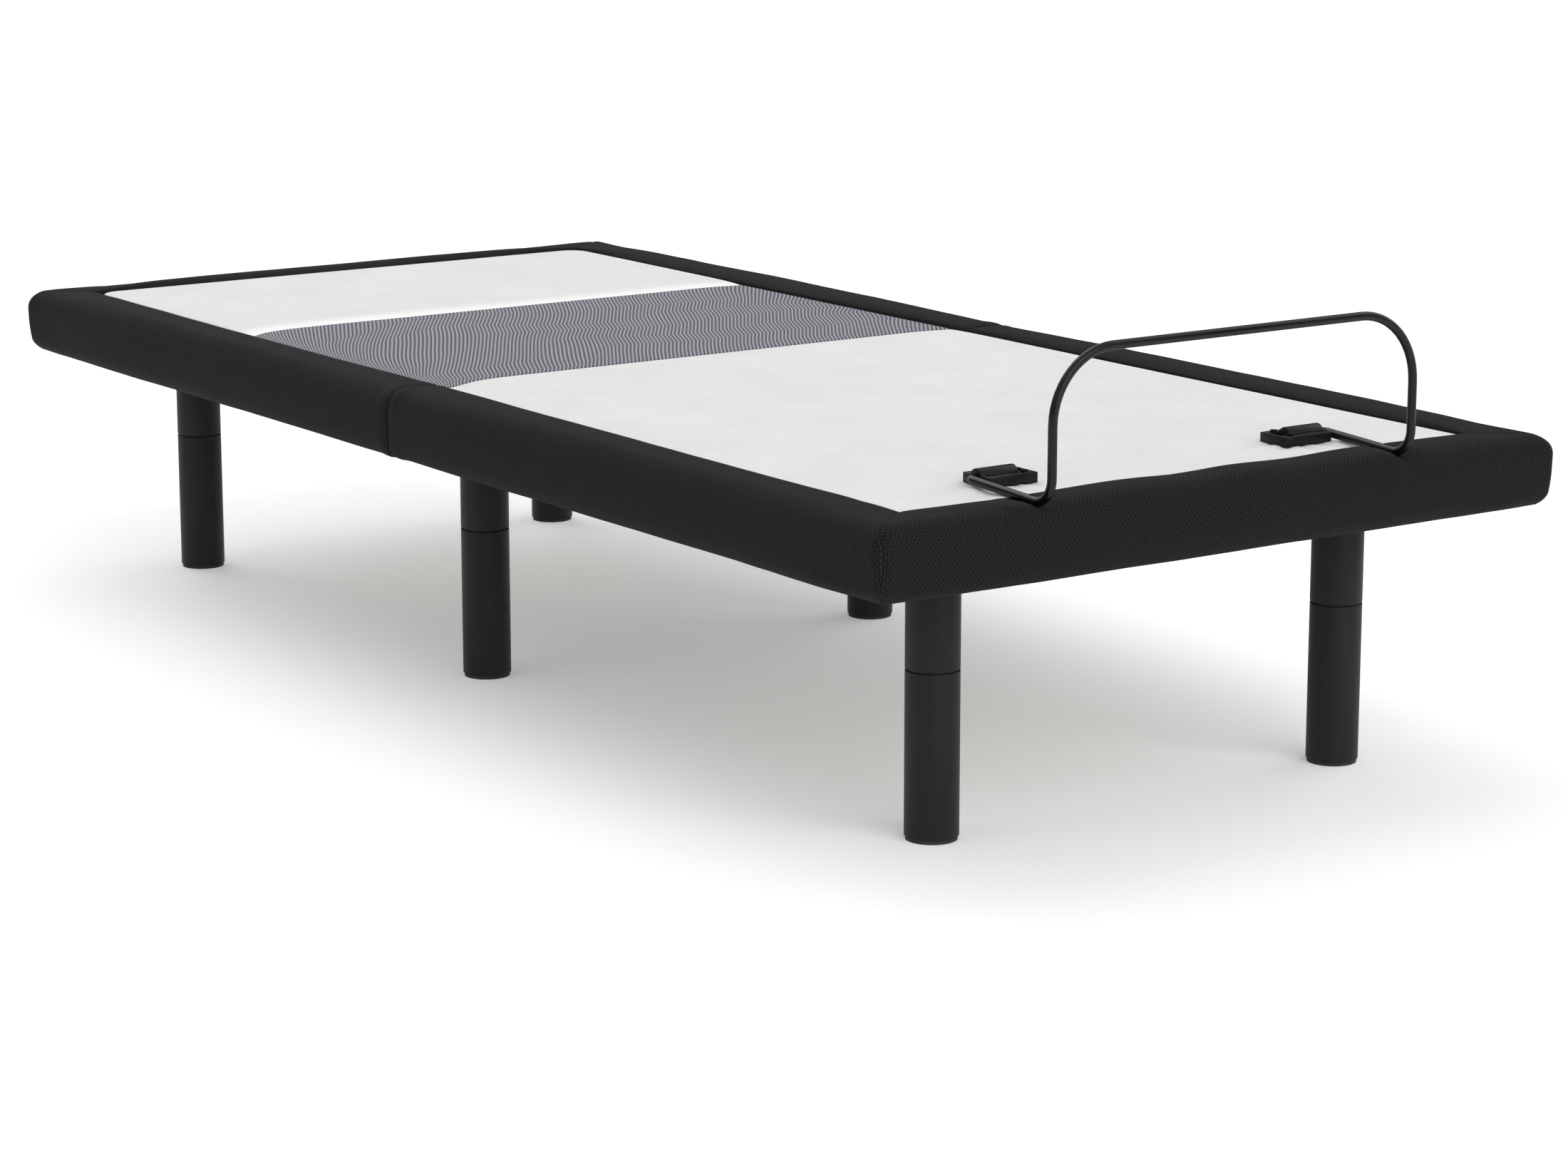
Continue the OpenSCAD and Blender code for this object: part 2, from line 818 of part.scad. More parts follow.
module back_drive_rod() {
    color(steel) drive_rod(-drive_x, back_tube_y + 16, head_horn_y, 1, head_slop, cos(back_max));
}

module thigh_drive_rod() {
    color(steel) drive_rod(drive_x, thigh_tube_y - 8, foot_horn_y, -1, foot_slop, cos(thigh_max));
}

// Electronics box that hangs from the hinge cross member, with two sockets in its head end
module control_box() {
    top = leg_h - 4;
    end = box_y + box_l;
    color(black) difference() {
        union() {
            block([box_x, box_y, top - box_h], [box_x + box_w, end, top]);
            block([box_x + 6, hinge_cross_y - 14, top - e],
                [box_x + box_w - 6, hinge_cross_y + 14, leg_h]);
        }
        for (x = [25, 60])
            translate([box_x + x, end - 12, top - box_h / 2]) rotate([-90, 0, 0])
                cylinder(r = socket_r, h = 14);
    }
}

// ---------------------------------------------------------------- retainer bar

// Bracket that holds one end of the bar: a flat base and a half-round housing along X
module retainer_bracket() {
    x0 = bracket_out - bracket_w;
    z0 = deck_top;
    difference() {
        union() {
            block([x0, bar_y - bracket_d / 2, z0], [bracket_out, bar_y + bracket_d / 2, z0 + bracket_base]);
            intersection() {
                rod_x(bracket_out - hump_l, bracket_out, bar_y, bar_z, hump_r);
                block([0, bar_y - 30, z0 + 1], [bed_w, bar_y + 30, bed_l]);
            }
        }
        rod_x(bracket_out - hump_l + 6, bracket_out + 1, bar_y, bar_z, rod_r + 0.06);
        for (s = [-1, 1]) translate([x0 + screw_in, bar_y + s * screw_dy, z0 - 1])
            cylinder(r = screw_r + 0.1, h = 20);
    }
}

module retainer_brackets() {
    color(black) both() retainer_bracket();
}

module bracket_screws() {
    x = bracket_out - bracket_w + screw_in;
    color(steel) both() for (s = [-1, 1]) translate([x, bar_y + s * screw_dy, 0]) {
        translate([0, 0, board_low + 1]) cylinder(r = screw_r, h = deck_top + bracket_base - board_low);
        translate([0, 0, deck_top + bracket_base]) cylinder(r = 4, h = 2.4);
    }
}

// Quarter bend of the rod lying in the XY plane, from +X round to +Y
module bend(r) {
    rotate_extrude(angle = 90) translate([r, 0]) circle(r = rod_r);
}

// One half of the bar, on the +X side
module half_bar() {
    top = bar_z + bar_rise;
    rod_x(bracket_out - hump_l + 8, bar_x - hook_r, bar_y, bar_z, rod_r);
    translate([bar_x - hook_r, bar_y - hook_r, bar_z]) bend(hook_r);
    rod_y(up_y + foot_bend_r, bar_y - hook_r, bar_x, bar_z, rod_r);
    translate([bar_x, up_y + foot_bend_r, bar_z + foot_bend_r]) rotate([0, 90, 0]) rotate([0, 0, 270])
        bend(foot_bend_r);
    translate([bar_x, up_y, bar_z + foot_bend_r])
        cylinder(r = rod_r, h = bar_rise - foot_bend_r - bar_bend_r);
    translate([bar_x - bar_bend_r, up_y, top - bar_bend_r]) rotate([90, 0, 0]) bend(bar_bend_r);
    rod_x(0, bar_x - bar_bend_r, up_y, top, rod_r);
}

module retainer_bar() {
    color(black) both() half_bar();
}

head_frame();
foot_frame();
frame_splices();
frame_bolts();
head_cross_member();
mid_cross_member();
foot_cross_member();
hinge_cross_member();
link_cross_member();
leg_mount_plates();
upper_leg(-leg_x, foot_leg_y);  // upper_leg_foot_left
upper_leg(leg_x, foot_leg_y);  // upper_leg_foot_right
upper_leg(-mid_leg_x, mid_leg_y);  // upper_leg_mid_left
upper_leg(mid_leg_x, mid_leg_y);  // upper_leg_mid_right
upper_leg(-leg_x, head_leg_y);  // upper_leg_head_left
upper_leg(leg_x, head_leg_y);  // upper_leg_head_right
lower_leg(-leg_x, foot_leg_y);  // lower_leg_foot_left
lower_leg(leg_x, foot_leg_y);  // lower_leg_foot_right
lower_leg(-mid_leg_x, mid_leg_y);  // lower_leg_mid_left
lower_leg(mid_leg_x, mid_leg_y);  // lower_leg_mid_right
lower_leg(-leg_x, head_leg_y);  // lower_leg_head_left
lower_leg(leg_x, head_leg_y);  // lower_leg_head_right
leg_glides();
head_rail_wrap();
foot_rail_wrap();
seat_board();
seat_pad();
seat_front_pad();
hinge_pins();
back_board();
back_frame();
back_band_pad();
head_pad();
thigh_board();
thigh_frame();
thigh_pad();
knee_pins();
calf_board();
calf_frame();
calf_pad();
calf_link_left();
calf_link_right();
bearing_brackets();
tube_bushes();
back_lift_tube();
thigh_lift_tube();
back_roller_left();
back_roller_right();
thigh_roller_left();
thigh_roller_right();
back_drive_motor();
back_drive_tube();
back_drive_rod();
thigh_drive_motor();
thigh_drive_tube();
thigh_drive_rod();
control_box();
retainer_brackets();
bracket_screws();
retainer_bar();
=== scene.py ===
"""Looks of an adjustable bed base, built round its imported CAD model. Metres, +Z up, head end at +Y."""

import json
import math

import bmesh
import bpy
import numpy as np
from mathutils import Matrix, Vector, noise


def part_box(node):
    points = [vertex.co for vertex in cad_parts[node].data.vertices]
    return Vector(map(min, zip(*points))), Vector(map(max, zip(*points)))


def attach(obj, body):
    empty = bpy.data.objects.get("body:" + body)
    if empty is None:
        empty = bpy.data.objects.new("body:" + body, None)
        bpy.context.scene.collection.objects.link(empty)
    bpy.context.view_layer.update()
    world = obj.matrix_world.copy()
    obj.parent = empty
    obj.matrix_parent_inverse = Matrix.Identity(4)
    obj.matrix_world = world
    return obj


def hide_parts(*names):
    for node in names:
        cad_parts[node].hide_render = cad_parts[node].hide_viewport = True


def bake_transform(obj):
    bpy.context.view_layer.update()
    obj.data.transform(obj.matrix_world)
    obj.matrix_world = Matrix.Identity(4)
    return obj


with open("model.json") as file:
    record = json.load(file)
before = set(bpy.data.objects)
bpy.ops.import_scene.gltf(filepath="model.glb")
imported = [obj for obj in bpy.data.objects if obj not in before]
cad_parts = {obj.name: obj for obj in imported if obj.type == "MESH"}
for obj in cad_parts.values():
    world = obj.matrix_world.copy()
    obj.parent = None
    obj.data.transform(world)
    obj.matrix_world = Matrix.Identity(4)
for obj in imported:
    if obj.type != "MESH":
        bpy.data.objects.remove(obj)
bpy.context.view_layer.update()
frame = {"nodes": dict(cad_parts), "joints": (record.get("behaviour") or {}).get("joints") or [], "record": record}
NODES = frame["nodes"]
MM = 0.001

# How much nearer the head the rails' seam is than the steel frames' split.
SEAM_SHIFT = 9 * MM

# ------------------------------------------------------------------ sizes taken from the frame

WRAP_LOW, WRAP_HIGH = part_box("head_rail_wrap")
HALF_W = WRAP_HIGH.x
HALF_L = WRAP_HIGH.y
RAIL_TOP = WRAP_HIGH.z
RAIL_LOW = WRAP_LOW.z
SPLIT_Y = (WRAP_LOW.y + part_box("foot_rail_wrap")[1].y) / 2 + SEAM_SHIFT
DECK_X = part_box("calf_pad")[1].x
DECK_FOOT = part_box("calf_pad")[0].y
DECK_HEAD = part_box("head_pad")[1].y
DECK_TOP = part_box("calf_pad")[1].z
BOARD_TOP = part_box("calf_board")[1].z
BAND_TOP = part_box("back_band_pad")[1].y
BAND_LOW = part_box("seat_front_pad")[1].y
BAND_MIDDLE = (BAND_TOP + BAND_LOW) / 2
FRAME_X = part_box("head_frame")[1].x
FRAME_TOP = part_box("head_frame")[1].z
FRAME_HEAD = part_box("head_frame")[1].y
FRAME_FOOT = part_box("foot_frame")[0].y
HINGES = {joint["name"]: Vector(joint["pos_m"]) for joint in frame["joints"] if "pos_m" in joint}

ROD_R = 5 * MM
BAR_HINGE = HINGES["retainer_bar_swing"]
BAR_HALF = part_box("retainer_bar")[1].x - ROD_R
BAR_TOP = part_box("retainer_bar")[1].z - ROD_R
BAR_UP_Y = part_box("retainer_bar")[0].y + ROD_R - 1 * MM
BAR_SAG = 7 * MM
HOOK_R = 8 * MM
FOOT_BEND_R = 28 * MM
UPPER_BEND_R = 78 * MM
BRACKET_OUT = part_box("retainer_brackets")[1].x
BRACKET_IN = BRACKET_OUT - 66 * MM
BRACKET_HALF_D = 23 * MM
BRACKET_H = 12 * MM
HUMP_L = 50 * MM
HUMP_R = 10.5 * MM

DECK_GAP = 3 * MM
TUBE_W = 30 * MM
INNER_X = DECK_X + DECK_GAP
INNER_FOOT = DECK_FOOT - DECK_GAP
INNER_HEAD = DECK_HEAD + DECK_GAP
TUBE_X = FRAME_X - TUBE_W


# ------------------------------------------------------------------ material tools

class Shader:
    """One procedural material: adds nodes, links them, and feeds its Principled shader."""

    def __init__(self, name, roughness=0.5, **sockets):
        self.material = bpy.data.materials.new(name)
        self.material.use_nodes = True
        self.tree = self.material.node_tree
        self.bsdf = self.tree.nodes["Principled BSDF"]
        self.bsdf.inputs["Roughness"].default_value = roughness
        for socket, value in sockets.items():
            self.bsdf.inputs[socket.replace("_", " ")].default_value = value

    def feed(self, socket, value):
        """Links value to socket if it is a socket itself, and otherwise sets it."""
        if isinstance(value, bpy.types.NodeSocket):
            self.tree.links.new(value, socket)
        else:
            socket.default_value = value

    def node(self, kind, settings=None, **inputs):
        """A new shader node, with its settings made and its inputs fed."""
        made = self.tree.nodes.new("ShaderNode" + kind)
        for key, value in (settings or {}).items():
            setattr(made, key, value)
        for name, value in inputs.items():
            self.feed(made.inputs[name], value)
        return made

    def math(self, operation, *inputs):
        """Output of one Math node."""
        made = self.node("Math", {"operation": operation})
        for socket, value in zip(made.inputs, inputs):
            self.feed(socket, value)
        return made.outputs[0]

    def uv(self):
        """The piece's own cloth coordinates, in metres, as two values."""
        split = self.node("SeparateXYZ", Vector=self.node("UVMap", {"uv_map": "weave"}).outputs[0])
        return split.outputs[0], split.outputs[1]

    def place(self, *scale):
        """Object coordinates, stretched by scale."""
        scaled = self.node("VectorMath", {"operation": "MULTIPLY"})
        self.feed(scaled.inputs[0], self.node("TexCoord").outputs["Object"])
        scaled.inputs[1].default_value = scale
        return scaled.outputs[0]

    def join(self, x, y, z=0.0):
        """A vector from its three parts."""
        return self.node("CombineXYZ", X=x, Y=y, Z=z).outputs[0]

    def noise(self, vector, scale=1.0, detail=2.0, roughness=0.5):
        """Noise from about 0 to 1 at vector."""
        made = self.node("TexNoise", Vector=vector, Scale=scale, Detail=detail, Roughness=roughness)
        return made.outputs["Fac"]

    def step(self, value, low, high, a=0.0, b=1.0):
        """Goes smoothly from a to b as value goes from low to high."""
        made = self.node("MapRange", {"interpolation_type": "SMOOTHSTEP"}, Value=value)
        for name, number in (("From Min", low), ("From Max", high), ("To Min", a), ("To Max", b)):
            made.inputs[name].default_value = number
        return made.outputs[0]

    def mix(self, factor, a, b):
        """Colour a at factor 0 and colour b at factor 1."""
        made = self.node("Mix", {"data_type": "RGBA"})
        for index, value in ((0, factor), (6, a), (7, b)):
            if isinstance(value, tuple):
                value = (*value, 1.0)
            self.feed(made.inputs[index], value)
        return made.outputs[2]

    def bump(self, height, distance, strength=1.0, under=None):
        """A normal bent by a height, over the normal under if there is one."""
        made = self.node("Bump", Height=height, Distance=distance, Strength=strength)
        if under is not None:
            self.feed(made.inputs["Normal"], under)
        return made.outputs[0]

    def finish(self, colour, normal=None, roughness=None):
        """Feeds the Principled shader and gives the finished material."""
        self.feed(self.bsdf.inputs["Base Color"], colour)
        if normal is not None:
            self.feed(self.bsdf.inputs["Normal"], normal)
        if roughness is not None:
            self.feed(self.bsdf.inputs["Roughness"], roughness)
        return self.material


# ------------------------------------------------------------------ materials

def rail_fabric():
    """Black upholstery cloth with staggered rows of short raised dashes."""
    made = Shader("rail_fabric", 0.8, Specular_IOR_Level=0.12)
    u, v = made.uv()
    column = made.math("DIVIDE", u, 2.8 * MM)
    across = made.math("ABSOLUTE", made.math("SUBTRACT", made.math("FRACT", column), 0.5))
    odd = made.math("MODULO", made.math("FLOOR", column), 2.0)
    shift = made.math("MULTIPLY", made.math("ABSOLUTE", odd), 0.5)
    row = made.math("ADD", made.math("DIVIDE", v, 6.8 * MM), shift)
    along = made.math("ABSOLUTE", made.math("SUBTRACT", made.math("FRACT", row), 0.5))
    dash = made.math("MULTIPLY", made.step(across, 0.36, 0.2), made.step(along, 0.45, 0.32))
    fibre = made.noise(made.join(made.math("MULTIPLY", u, 2500), made.math("MULTIPLY", v, 900)), 1.0, 3.0)
    worn = made.noise(made.place(7, 7, 7), 1.0, 3.0)
    lift = made.math("MULTIPLY", dash, made.step(fibre, 0.3, 0.7, 0.7, 1.0))
    yarn = made.mix(lift, (0.0036, 0.0036, 0.0038), (0.0225, 0.0225, 0.023))
    colour = made.mix(made.step(worn, 0.35, 0.7, 0.0, 0.16), yarn, (0.012, 0.012, 0.012))
    relief = made.math("ADD", lift, made.math("MULTIPLY", fibre, 0.35))
    return made.finish(colour, made.bump(relief, 0.35 * MM, 0.8))


def plain_weave(made, u, v, pitch):
    """Height of a plain weave: threads that pass over and under each other."""
    over = made.math("SINE", made.math("MULTIPLY", u, math.pi / pitch))
    under = made.math("SINE", made.math("MULTIPLY", v, math.pi / pitch))
    return made.math("MULTIPLY", over, under)


# Width of the painted highlight along the head panel's edge beside the band.
EDGE_HIGHLIGHT_W = 50 * MM


def deck_fabric():
    """White deck cloth with a fine plain weave and faint clouds, and a painted highlight along the head panel's
    edge beside the band.
    """
    made = Shader("deck_fabric", 0.88, Sheen_Weight=0.1, Sheen_Roughness=0.6, Specular_IOR_Level=0.2)
    u, v = made.uv()
    weave = plain_weave(made, u, v, 1.1 * MM)
    cloud = made.noise(made.join(made.math("MULTIPLY", u, 9), made.math("MULTIPLY", v, 9)), 1.0, 4.0)
    slub = made.noise(made.join(made.math("MULTIPLY", u, 60), made.math("MULTIPLY", v, 700)), 1.0, 2.0)
    base = made.mix(made.step(cloud, 0.3, 0.7), (0.70, 0.70, 0.70), (0.735, 0.735, 0.735))
    shade = made.math("MULTIPLY", made.step(slub, 0.45, 0.75), 0.25)
    cloth = made.mix(shade, base, (0.64, 0.64, 0.645))
    # Painted highlight: on the head panel, a strip beside the band is made lighter, as where its edge turns
    # towards the light.
    on_head = made.step(v, BAND_MIDDLE, BAND_TOP - EDGE_HIGHLIGHT_W)
    hem = made.math("MULTIPLY", made.step(v, BAND_TOP + EDGE_HIGHLIGHT_W, BAND_TOP), on_head)
    colour = made.mix(hem, cloth, (0.90, 0.90, 0.90))
    relief = made.math("ADD", weave, made.math("MULTIPLY", slub, 0.8))
    return made.finish(colour, made.bump(relief, 0.12 * MM, 0.6))


RIB_PITCH = 5.0 * MM
RIB_LEAN = math.radians(31)


def band_fabric():
    """Grey stretch cloth: light and dark ribs that run at a slant and zigzag a little."""
    made = Shader("band_fabric", 0.8, Sheen_Weight=0.15, Sheen_Roughness=0.5, Specular_IOR_Level=0.25)
    u, v = made.uv()
    across = made.math("SUBTRACT", made.math("MULTIPLY", u, math.cos(RIB_LEAN)),
                       made.math("MULTIPLY", v, math.sin(RIB_LEAN)))
    wander = made.noise(made.join(made.math("MULTIPLY", u, 2.2), made.math("MULTIPLY", v, 2.2)), 1.0, 1.0)
    fold = made.math("ADD", made.math("DIVIDE", v, 95 * MM), made.math("MULTIPLY", wander, 6.5))
    zigzag = made.math("PINGPONG", fold, 1.0)
    lean = made.math("MULTIPLY", made.math("SUBTRACT", zigzag, 0.5), 1.1 * RIB_PITCH)
    turn = made.math("MULTIPLY", made.math("ADD", across, lean), 2 * math.pi / RIB_PITCH)
    rib = made.math("SINE", turn)
    knit = made.math("SINE", made.math("MULTIPLY", v, 2 * math.pi / (1.3 * MM)))
    light = made.step(rib, -0.35, 0.45)
    fleck = made.noise(made.join(made.math("MULTIPLY", u, 800), made.math("MULTIPLY", v, 800)), 1.0, 2.0)
    ribs = made.mix(light, (0.040, 0.040, 0.056), (0.300, 0.300, 0.350))
    colour = made.mix(made.math("MULTIPLY", made.step(fleck, 0.4, 0.8), 0.2), ribs, (0.14, 0.14, 0.165))
    relief = made.math("ADD", rib, made.math("MULTIPLY", knit, 0.2))
    return made.finish(colour, made.bump(relief, 0.45 * MM, 0.7))


def powder_coat(name, tone, roughness, peel=0.35, shine=0.45):
    """Satin powder coat with a fine orange peel and slightly uneven gloss."""
    made = Shader(name, roughness, Specular_IOR_Level=shine)
    grain = made.noise(made.place(900, 900, 900), 1.0, 2.0)
    drift = made.noise(made.place(6, 6, 6), 1.0, 3.0)
    colour = made.mix(made.step(drift, 0.3, 0.7), tone, tuple(1.35 * c for c in tone))
    gloss = made.step(drift, 0.2, 0.8, roughness - 0.06, roughness + 0.08)
    return made.finish(colour, made.bump(grain, 0.06 * MM, peel), gloss)


def zinc(name="zinc", dull=(0.50, 0.51, 0.52), bright=(0.66, 0.66, 0.64)):
    """Zinc-plated steel with a mottled passivation."""
    made = Shader(name, 0.35, Metallic=1.0)
    mottle = made.noise(made.place(160, 160, 160), 1.0, 4.0)
    scratch = made.noise(made.place(60, 1800, 400), 1.0, 2.0)
    colour = made.mix(made.step(mottle, 0.35, 0.65), dull, bright)
    gloss = made.step(mottle, 0.3, 0.7, 0.28, 0.46)
    return made.finish(colour, made.bump(scratch, 0.02 * MM, 0.4), gloss)


def rod_steel():
    """Ground bright steel with fine lines round the rod."""
    made = Shader("rod_steel", 0.24, Metallic=1.0)
    lines = made.noise(made.place(40, 3000, 40), 1.0, 2.0)
    stain = made.noise(made.place(30, 12, 30), 1.0, 4.0)
    colour = made.mix(made.step(stain, 0.4, 0.7), (0.62, 0.63, 0.65), (0.50, 0.51, 0.53))
    gloss = made.step(lines, 0.3, 0.7, 0.16, 0.34)
    return made.finish(colour, made.bump(lines, 0.02 * MM, 0.5), gloss)


def glide_rubber():
    """Black rubber with a moulded grain."""
    made = Shader("glide_rubber", 0.75, Specular_IOR_Level=0.35)
    grain = made.noise(made.place(1200, 1200, 1200), 1.0, 3.0)
    colour = made.mix(made.step(grain, 0.3, 0.8), (0.018, 0.018, 0.018), (0.04, 0.04, 0.04))
    return made.finish(colour, made.bump(grain, 0.15 * MM, 0.6))


def board_wood():
    """Birch plywood: long grain on the faces and glued plies on the edges."""
    made = Shader("board_wood", 0.55, Specular_IOR_Level=0.3)
    grain = made.noise(made.place(28, 2.2, 28), 1.0, 5.0, 0.6)
    pore = made.noise(made.place(900, 50, 900), 1.0, 2.0)
    face = made.mix(made.step(grain, 0.35, 0.65), (0.40, 0.335, 0.26), (0.50, 0.435, 0.35))
    height = made.node("SeparateXYZ", Vector=made.node("TexCoord").outputs["Object"]).outputs[2]
    ply = made.math("SINE", made.math("MULTIPLY", height, 2 * math.pi / (3 * MM)))
    normal = made.node("SeparateXYZ", Vector=made.node("TexCoord").outputs["Normal"]).outputs[2]
    edge = made.step(made.math("ABSOLUTE", normal), 0.6, 0.3)
    dark = made.math("MULTIPLY", made.math("MULTIPLY", made.step(ply, 0.0, 0.6), edge), 0.6)
    colour = made.mix(dark, face, (0.20, 0.15, 0.10))
    return made.finish(colour, made.bump(pore, 0.08 * MM, 0.5))


def moulded(name, tone, roughness, grain_scale=1400, shine=0.42):
    """Injection-moulded plastic with a fine spark grain."""
    made = Shader(name, roughness, Specular_IOR_Level=shine)
    grain = made.noise(made.place(grain_scale, grain_scale, grain_scale), 1.0, 2.0)
    flow = made.noise(made.place(14, 14, 14), 1.0, 3.0)
    colour = made.mix(made.step(flow, 0.3, 0.7), tone, tuple(1.25 * c for c in tone))
    gloss = made.step(flow, 0.2, 0.8, roughness - 0.05, roughness + 0.07)
    return made.finish(colour, made.bump(grain, 0.05 * MM, 0.5), gloss)


def make_materials():
    """Every material of the object, by the name of its slot in the record."""
    return {
        "rail_fabric": rail_fabric(),
        "deck_fabric": deck_fabric(),
        "band_fabric": band_fabric(),
        "frame_paint": powder_coat("frame_paint", (0.022, 0.022, 0.024), 0.42),
        "leg_black": powder_coat("leg_black", (0.0095, 0.0095, 0.0097), 0.5, 0.25, 0.2),
        "bar_paint": powder_coat("bar_paint", (0.004, 0.004, 0.0042), 0.26, 0.2, 0.26),
        "drive_tube_paint": powder_coat("drive_tube_paint", (0.05, 0.05, 0.054), 0.36),
        "zinc": zinc(),
        "rod_steel": rod_steel(),
        "glide_rubber": glide_rubber(),
        "board_wood": board_wood(),
        "nylon": moulded("nylon", (0.60, 0.60, 0.57), 0.45),
        "drive_plastic": moulded("drive_plastic", (0.020, 0.020, 0.022), 0.5),
        "bracket_plastic": moulded("bracket_plastic", (0.005, 0.005, 0.0054), 0.4, shine=0.2),
    }


MATERIALS = make_materials()


def paint_cad_nodes():
    """Gives every CAD node the material of its slot in the record; the brackets' screws are blackened."""
    blackened = zinc("blackened_zinc", (0.012, 0.012, 0.013), (0.022, 0.022, 0.023))
    for part in frame["record"]["subparts"]:
        mesh = NODES[part["node"]].data
        mesh.materials.clear()
        is_screw = part["node"] == "bracket_screws"
        mesh.materials.append(blackened if is_screw else MATERIALS[part["material_slot"]])


# ------------------------------------------------------------------ mesh tools

def new_mesh(name, points, faces, material):
    """A smooth-shaded mesh object with one material."""
    mesh = bpy.data.meshes.new(name)
    mesh.from_pydata([tuple(p) for p in points], [], [tuple(f) for f in faces])
    mesh.materials.append(MATERIALS[material])
    mesh.shade_smooth()
    piece = bpy.data.objects.new(name, mesh)
    bpy.context.scene.collection.objects.link(piece)
    return piece


def face_outwards(piece):
    """Turns every face of a closed mesh outwards."""
    work = bmesh.new()
    work.from_mesh(piece.data)
    bmesh.ops.recalc_face_normals(work, faces=work.faces)
    work.to_mesh(piece.data)
    work.free()


def sharpen(piece, angle):
    """Marks edges sharper than angle, in degrees, so that flat parts shade flat."""
    piece.data.set_sharp_from_angle(angle=math.radians(angle))


def set_weave(piece, coordinate):
    """Writes cloth coordinates, in metres; coordinate gets the place of a face's corner."""
    layer = piece.data.uv_layers.new(name="weave")
    points = piece.data.vertices
    for face in piece.data.polygons:
        for loop in face.loop_indices:
            layer.data[loop].uv = coordinate(points[piece.data.loops[loop].vertex_index].co)


def coordinates(piece):
    """A mesh's points as an array."""
    flat = np.zeros(3 * len(piece.data.vertices))
    piece.data.vertices.foreach_get("co", flat)
    return flat.reshape(-1, 3)


def normals(piece):
    """A mesh's vertex normals as an array."""
    flat = np.zeros(3 * len(piece.data.vertices))
    piece.data.vertices.foreach_get("normal", flat)
    return flat.reshape(-1, 3)


def move_points(piece, points):
    """Puts a mesh's points at the rows of an array."""
    piece.data.vertices.foreach_set("co", points.reshape(-1))
    piece.data.update()


def apply_modifiers(piece):
    """Bakes a piece's modifiers into its mesh."""
    shape = bpy.data.meshes.new_from_object(piece.evaluated_get(bpy.context.evaluated_depsgraph_get()))
    piece.modifiers.clear()
    piece.data = shape


def wander(x, y, z, scale, seed):
    """Smooth noise from -1 to 1 at a point; scale is the size of its features, in metres."""
    return noise.noise(Vector((x / scale + seed, y / scale - seed, z / scale)))


def bell(distance, width):
    """1 where distance is 0, falling off smoothly over width."""
    return np.exp(-(distance / width) ** 2)


def smooth(value):
    """Rises smoothly from 0 to 1 as value does."""
    value = np.clip(value, 0, 1)
    return value * value * (3 - 2 * value)


def dress(piece, body, slot, *replaced):
    """Sets a finished rigid piece on its body and hides the CAD nodes that it stands for; slot is not used."""
    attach(piece, body)
    if replaced:
        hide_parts(*replaced)
    return piece


# ------------------------------------------------------------------ padded rails

RAIL_STEP = 8 * MM
TOP_R = 22 * MM
LOW_R = 16 * MM
FIT = 0.25 * MM
LIP_Z = 350 * MM
FLANGE_IN = 15 * MM
FLANGE_Z = RAIL_LOW - 1.5 * MM
FLANGE_T = 1.2 * MM
CORNER_R = 14 * MM
INNER_R = 0.6 * MM


def fillet_path(corners):
    """A closed outline from corners (x, y, radius, arc steps, points on the straight after it)."""
    count = len(corners)
    arcs = []
    for i in range(count):
        x, y, radius, turns, _ = corners[i]
        here = Vector((x, y))
        before = (Vector(corners[i - 1][:2]) - here).normalized()
        after = (Vector(corners[(i + 1) % count][:2]) - here).normalized()
        half = before.angle(after) / 2
        reach = radius / math.tan(half)
        middle = here + (before + after).normalized() * (radius / math.sin(half))
        first = here + before * reach - middle
        last = here + after * reach - middle
        sweep = math.atan2(first.x * last.y - first.y * last.x, first.dot(last))
        arcs.append([middle + Matrix.Rotation(sweep * k / turns, 2) @ first for k in range(turns + 1)])
    outline = []
    for i in range(count):
        outline += arcs[i]
        start, stop, inner = arcs[i][-1], arcs[(i + 1) % count][0], corners[i][4]
        outline += [start.lerp(stop, k / (inner + 1)) for k in range(1, inner + 1)]
    return np.array([tuple(p) for p in outline])


def rail_profile(border, tube_in):
    """Outline of a rail across its length: (distance out from the deck, height), for one border width."""
    side = tube_in - FIT
    far = tube_in + TUBE_W + FIT
    roof = FRAME_TOP + FIT
    low = FLANGE_Z + FLANGE_T
    return fillet_path([
        (0, LIP_Z, 1.5 * MM, 2, 3), (0, RAIL_TOP, 3.5 * MM, 4, 7), (border, RAIL_TOP, TOP_R, 9, 5),
        (border, FLANGE_Z, LOW_R, 6, 6), (FLANGE_IN, FLANGE_Z, 0.3 * MM, 1, 0),
        (FLANGE_IN, low, 0.3 * MM, 1, 4), (far, low, 0.5 * MM, 1, 6), (far, roof, MM, 1, 3),
        (side, roof, MM, 1, 1), (side, LIP_Z, MM, 1, 0)])


OUTER_POINTS = 3 + 3 + 5 + 7 + 10 + 5 + 7
SEAM_GAP = 1.0 * MM
END_R = 3 * MM
CORNER_STEPS = 12
CLOTH_FRAMES = 16
# Near a corner the simulation is faded out, so that it can't wrinkle the close mesh there.
CORNER_CALM = 110 * MM


def rail_stations(length):
    """Places along a straight stretch of rail, from 0 to 1: close together at both ends."""
    close = [0, 0.3, 0.8, 1.6, 3, 4.5, 6.5, 9, 12, 16]
    near = [k * MM / length for k in close]
    count = int((1 - 2 * near[-1]) * length / RAIL_STEP)
    middle = [near[-1] + (1 - 2 * near[-1]) * k / count for k in range(1, count)]
    return near + middle + [1 - k for k in reversed(near)]


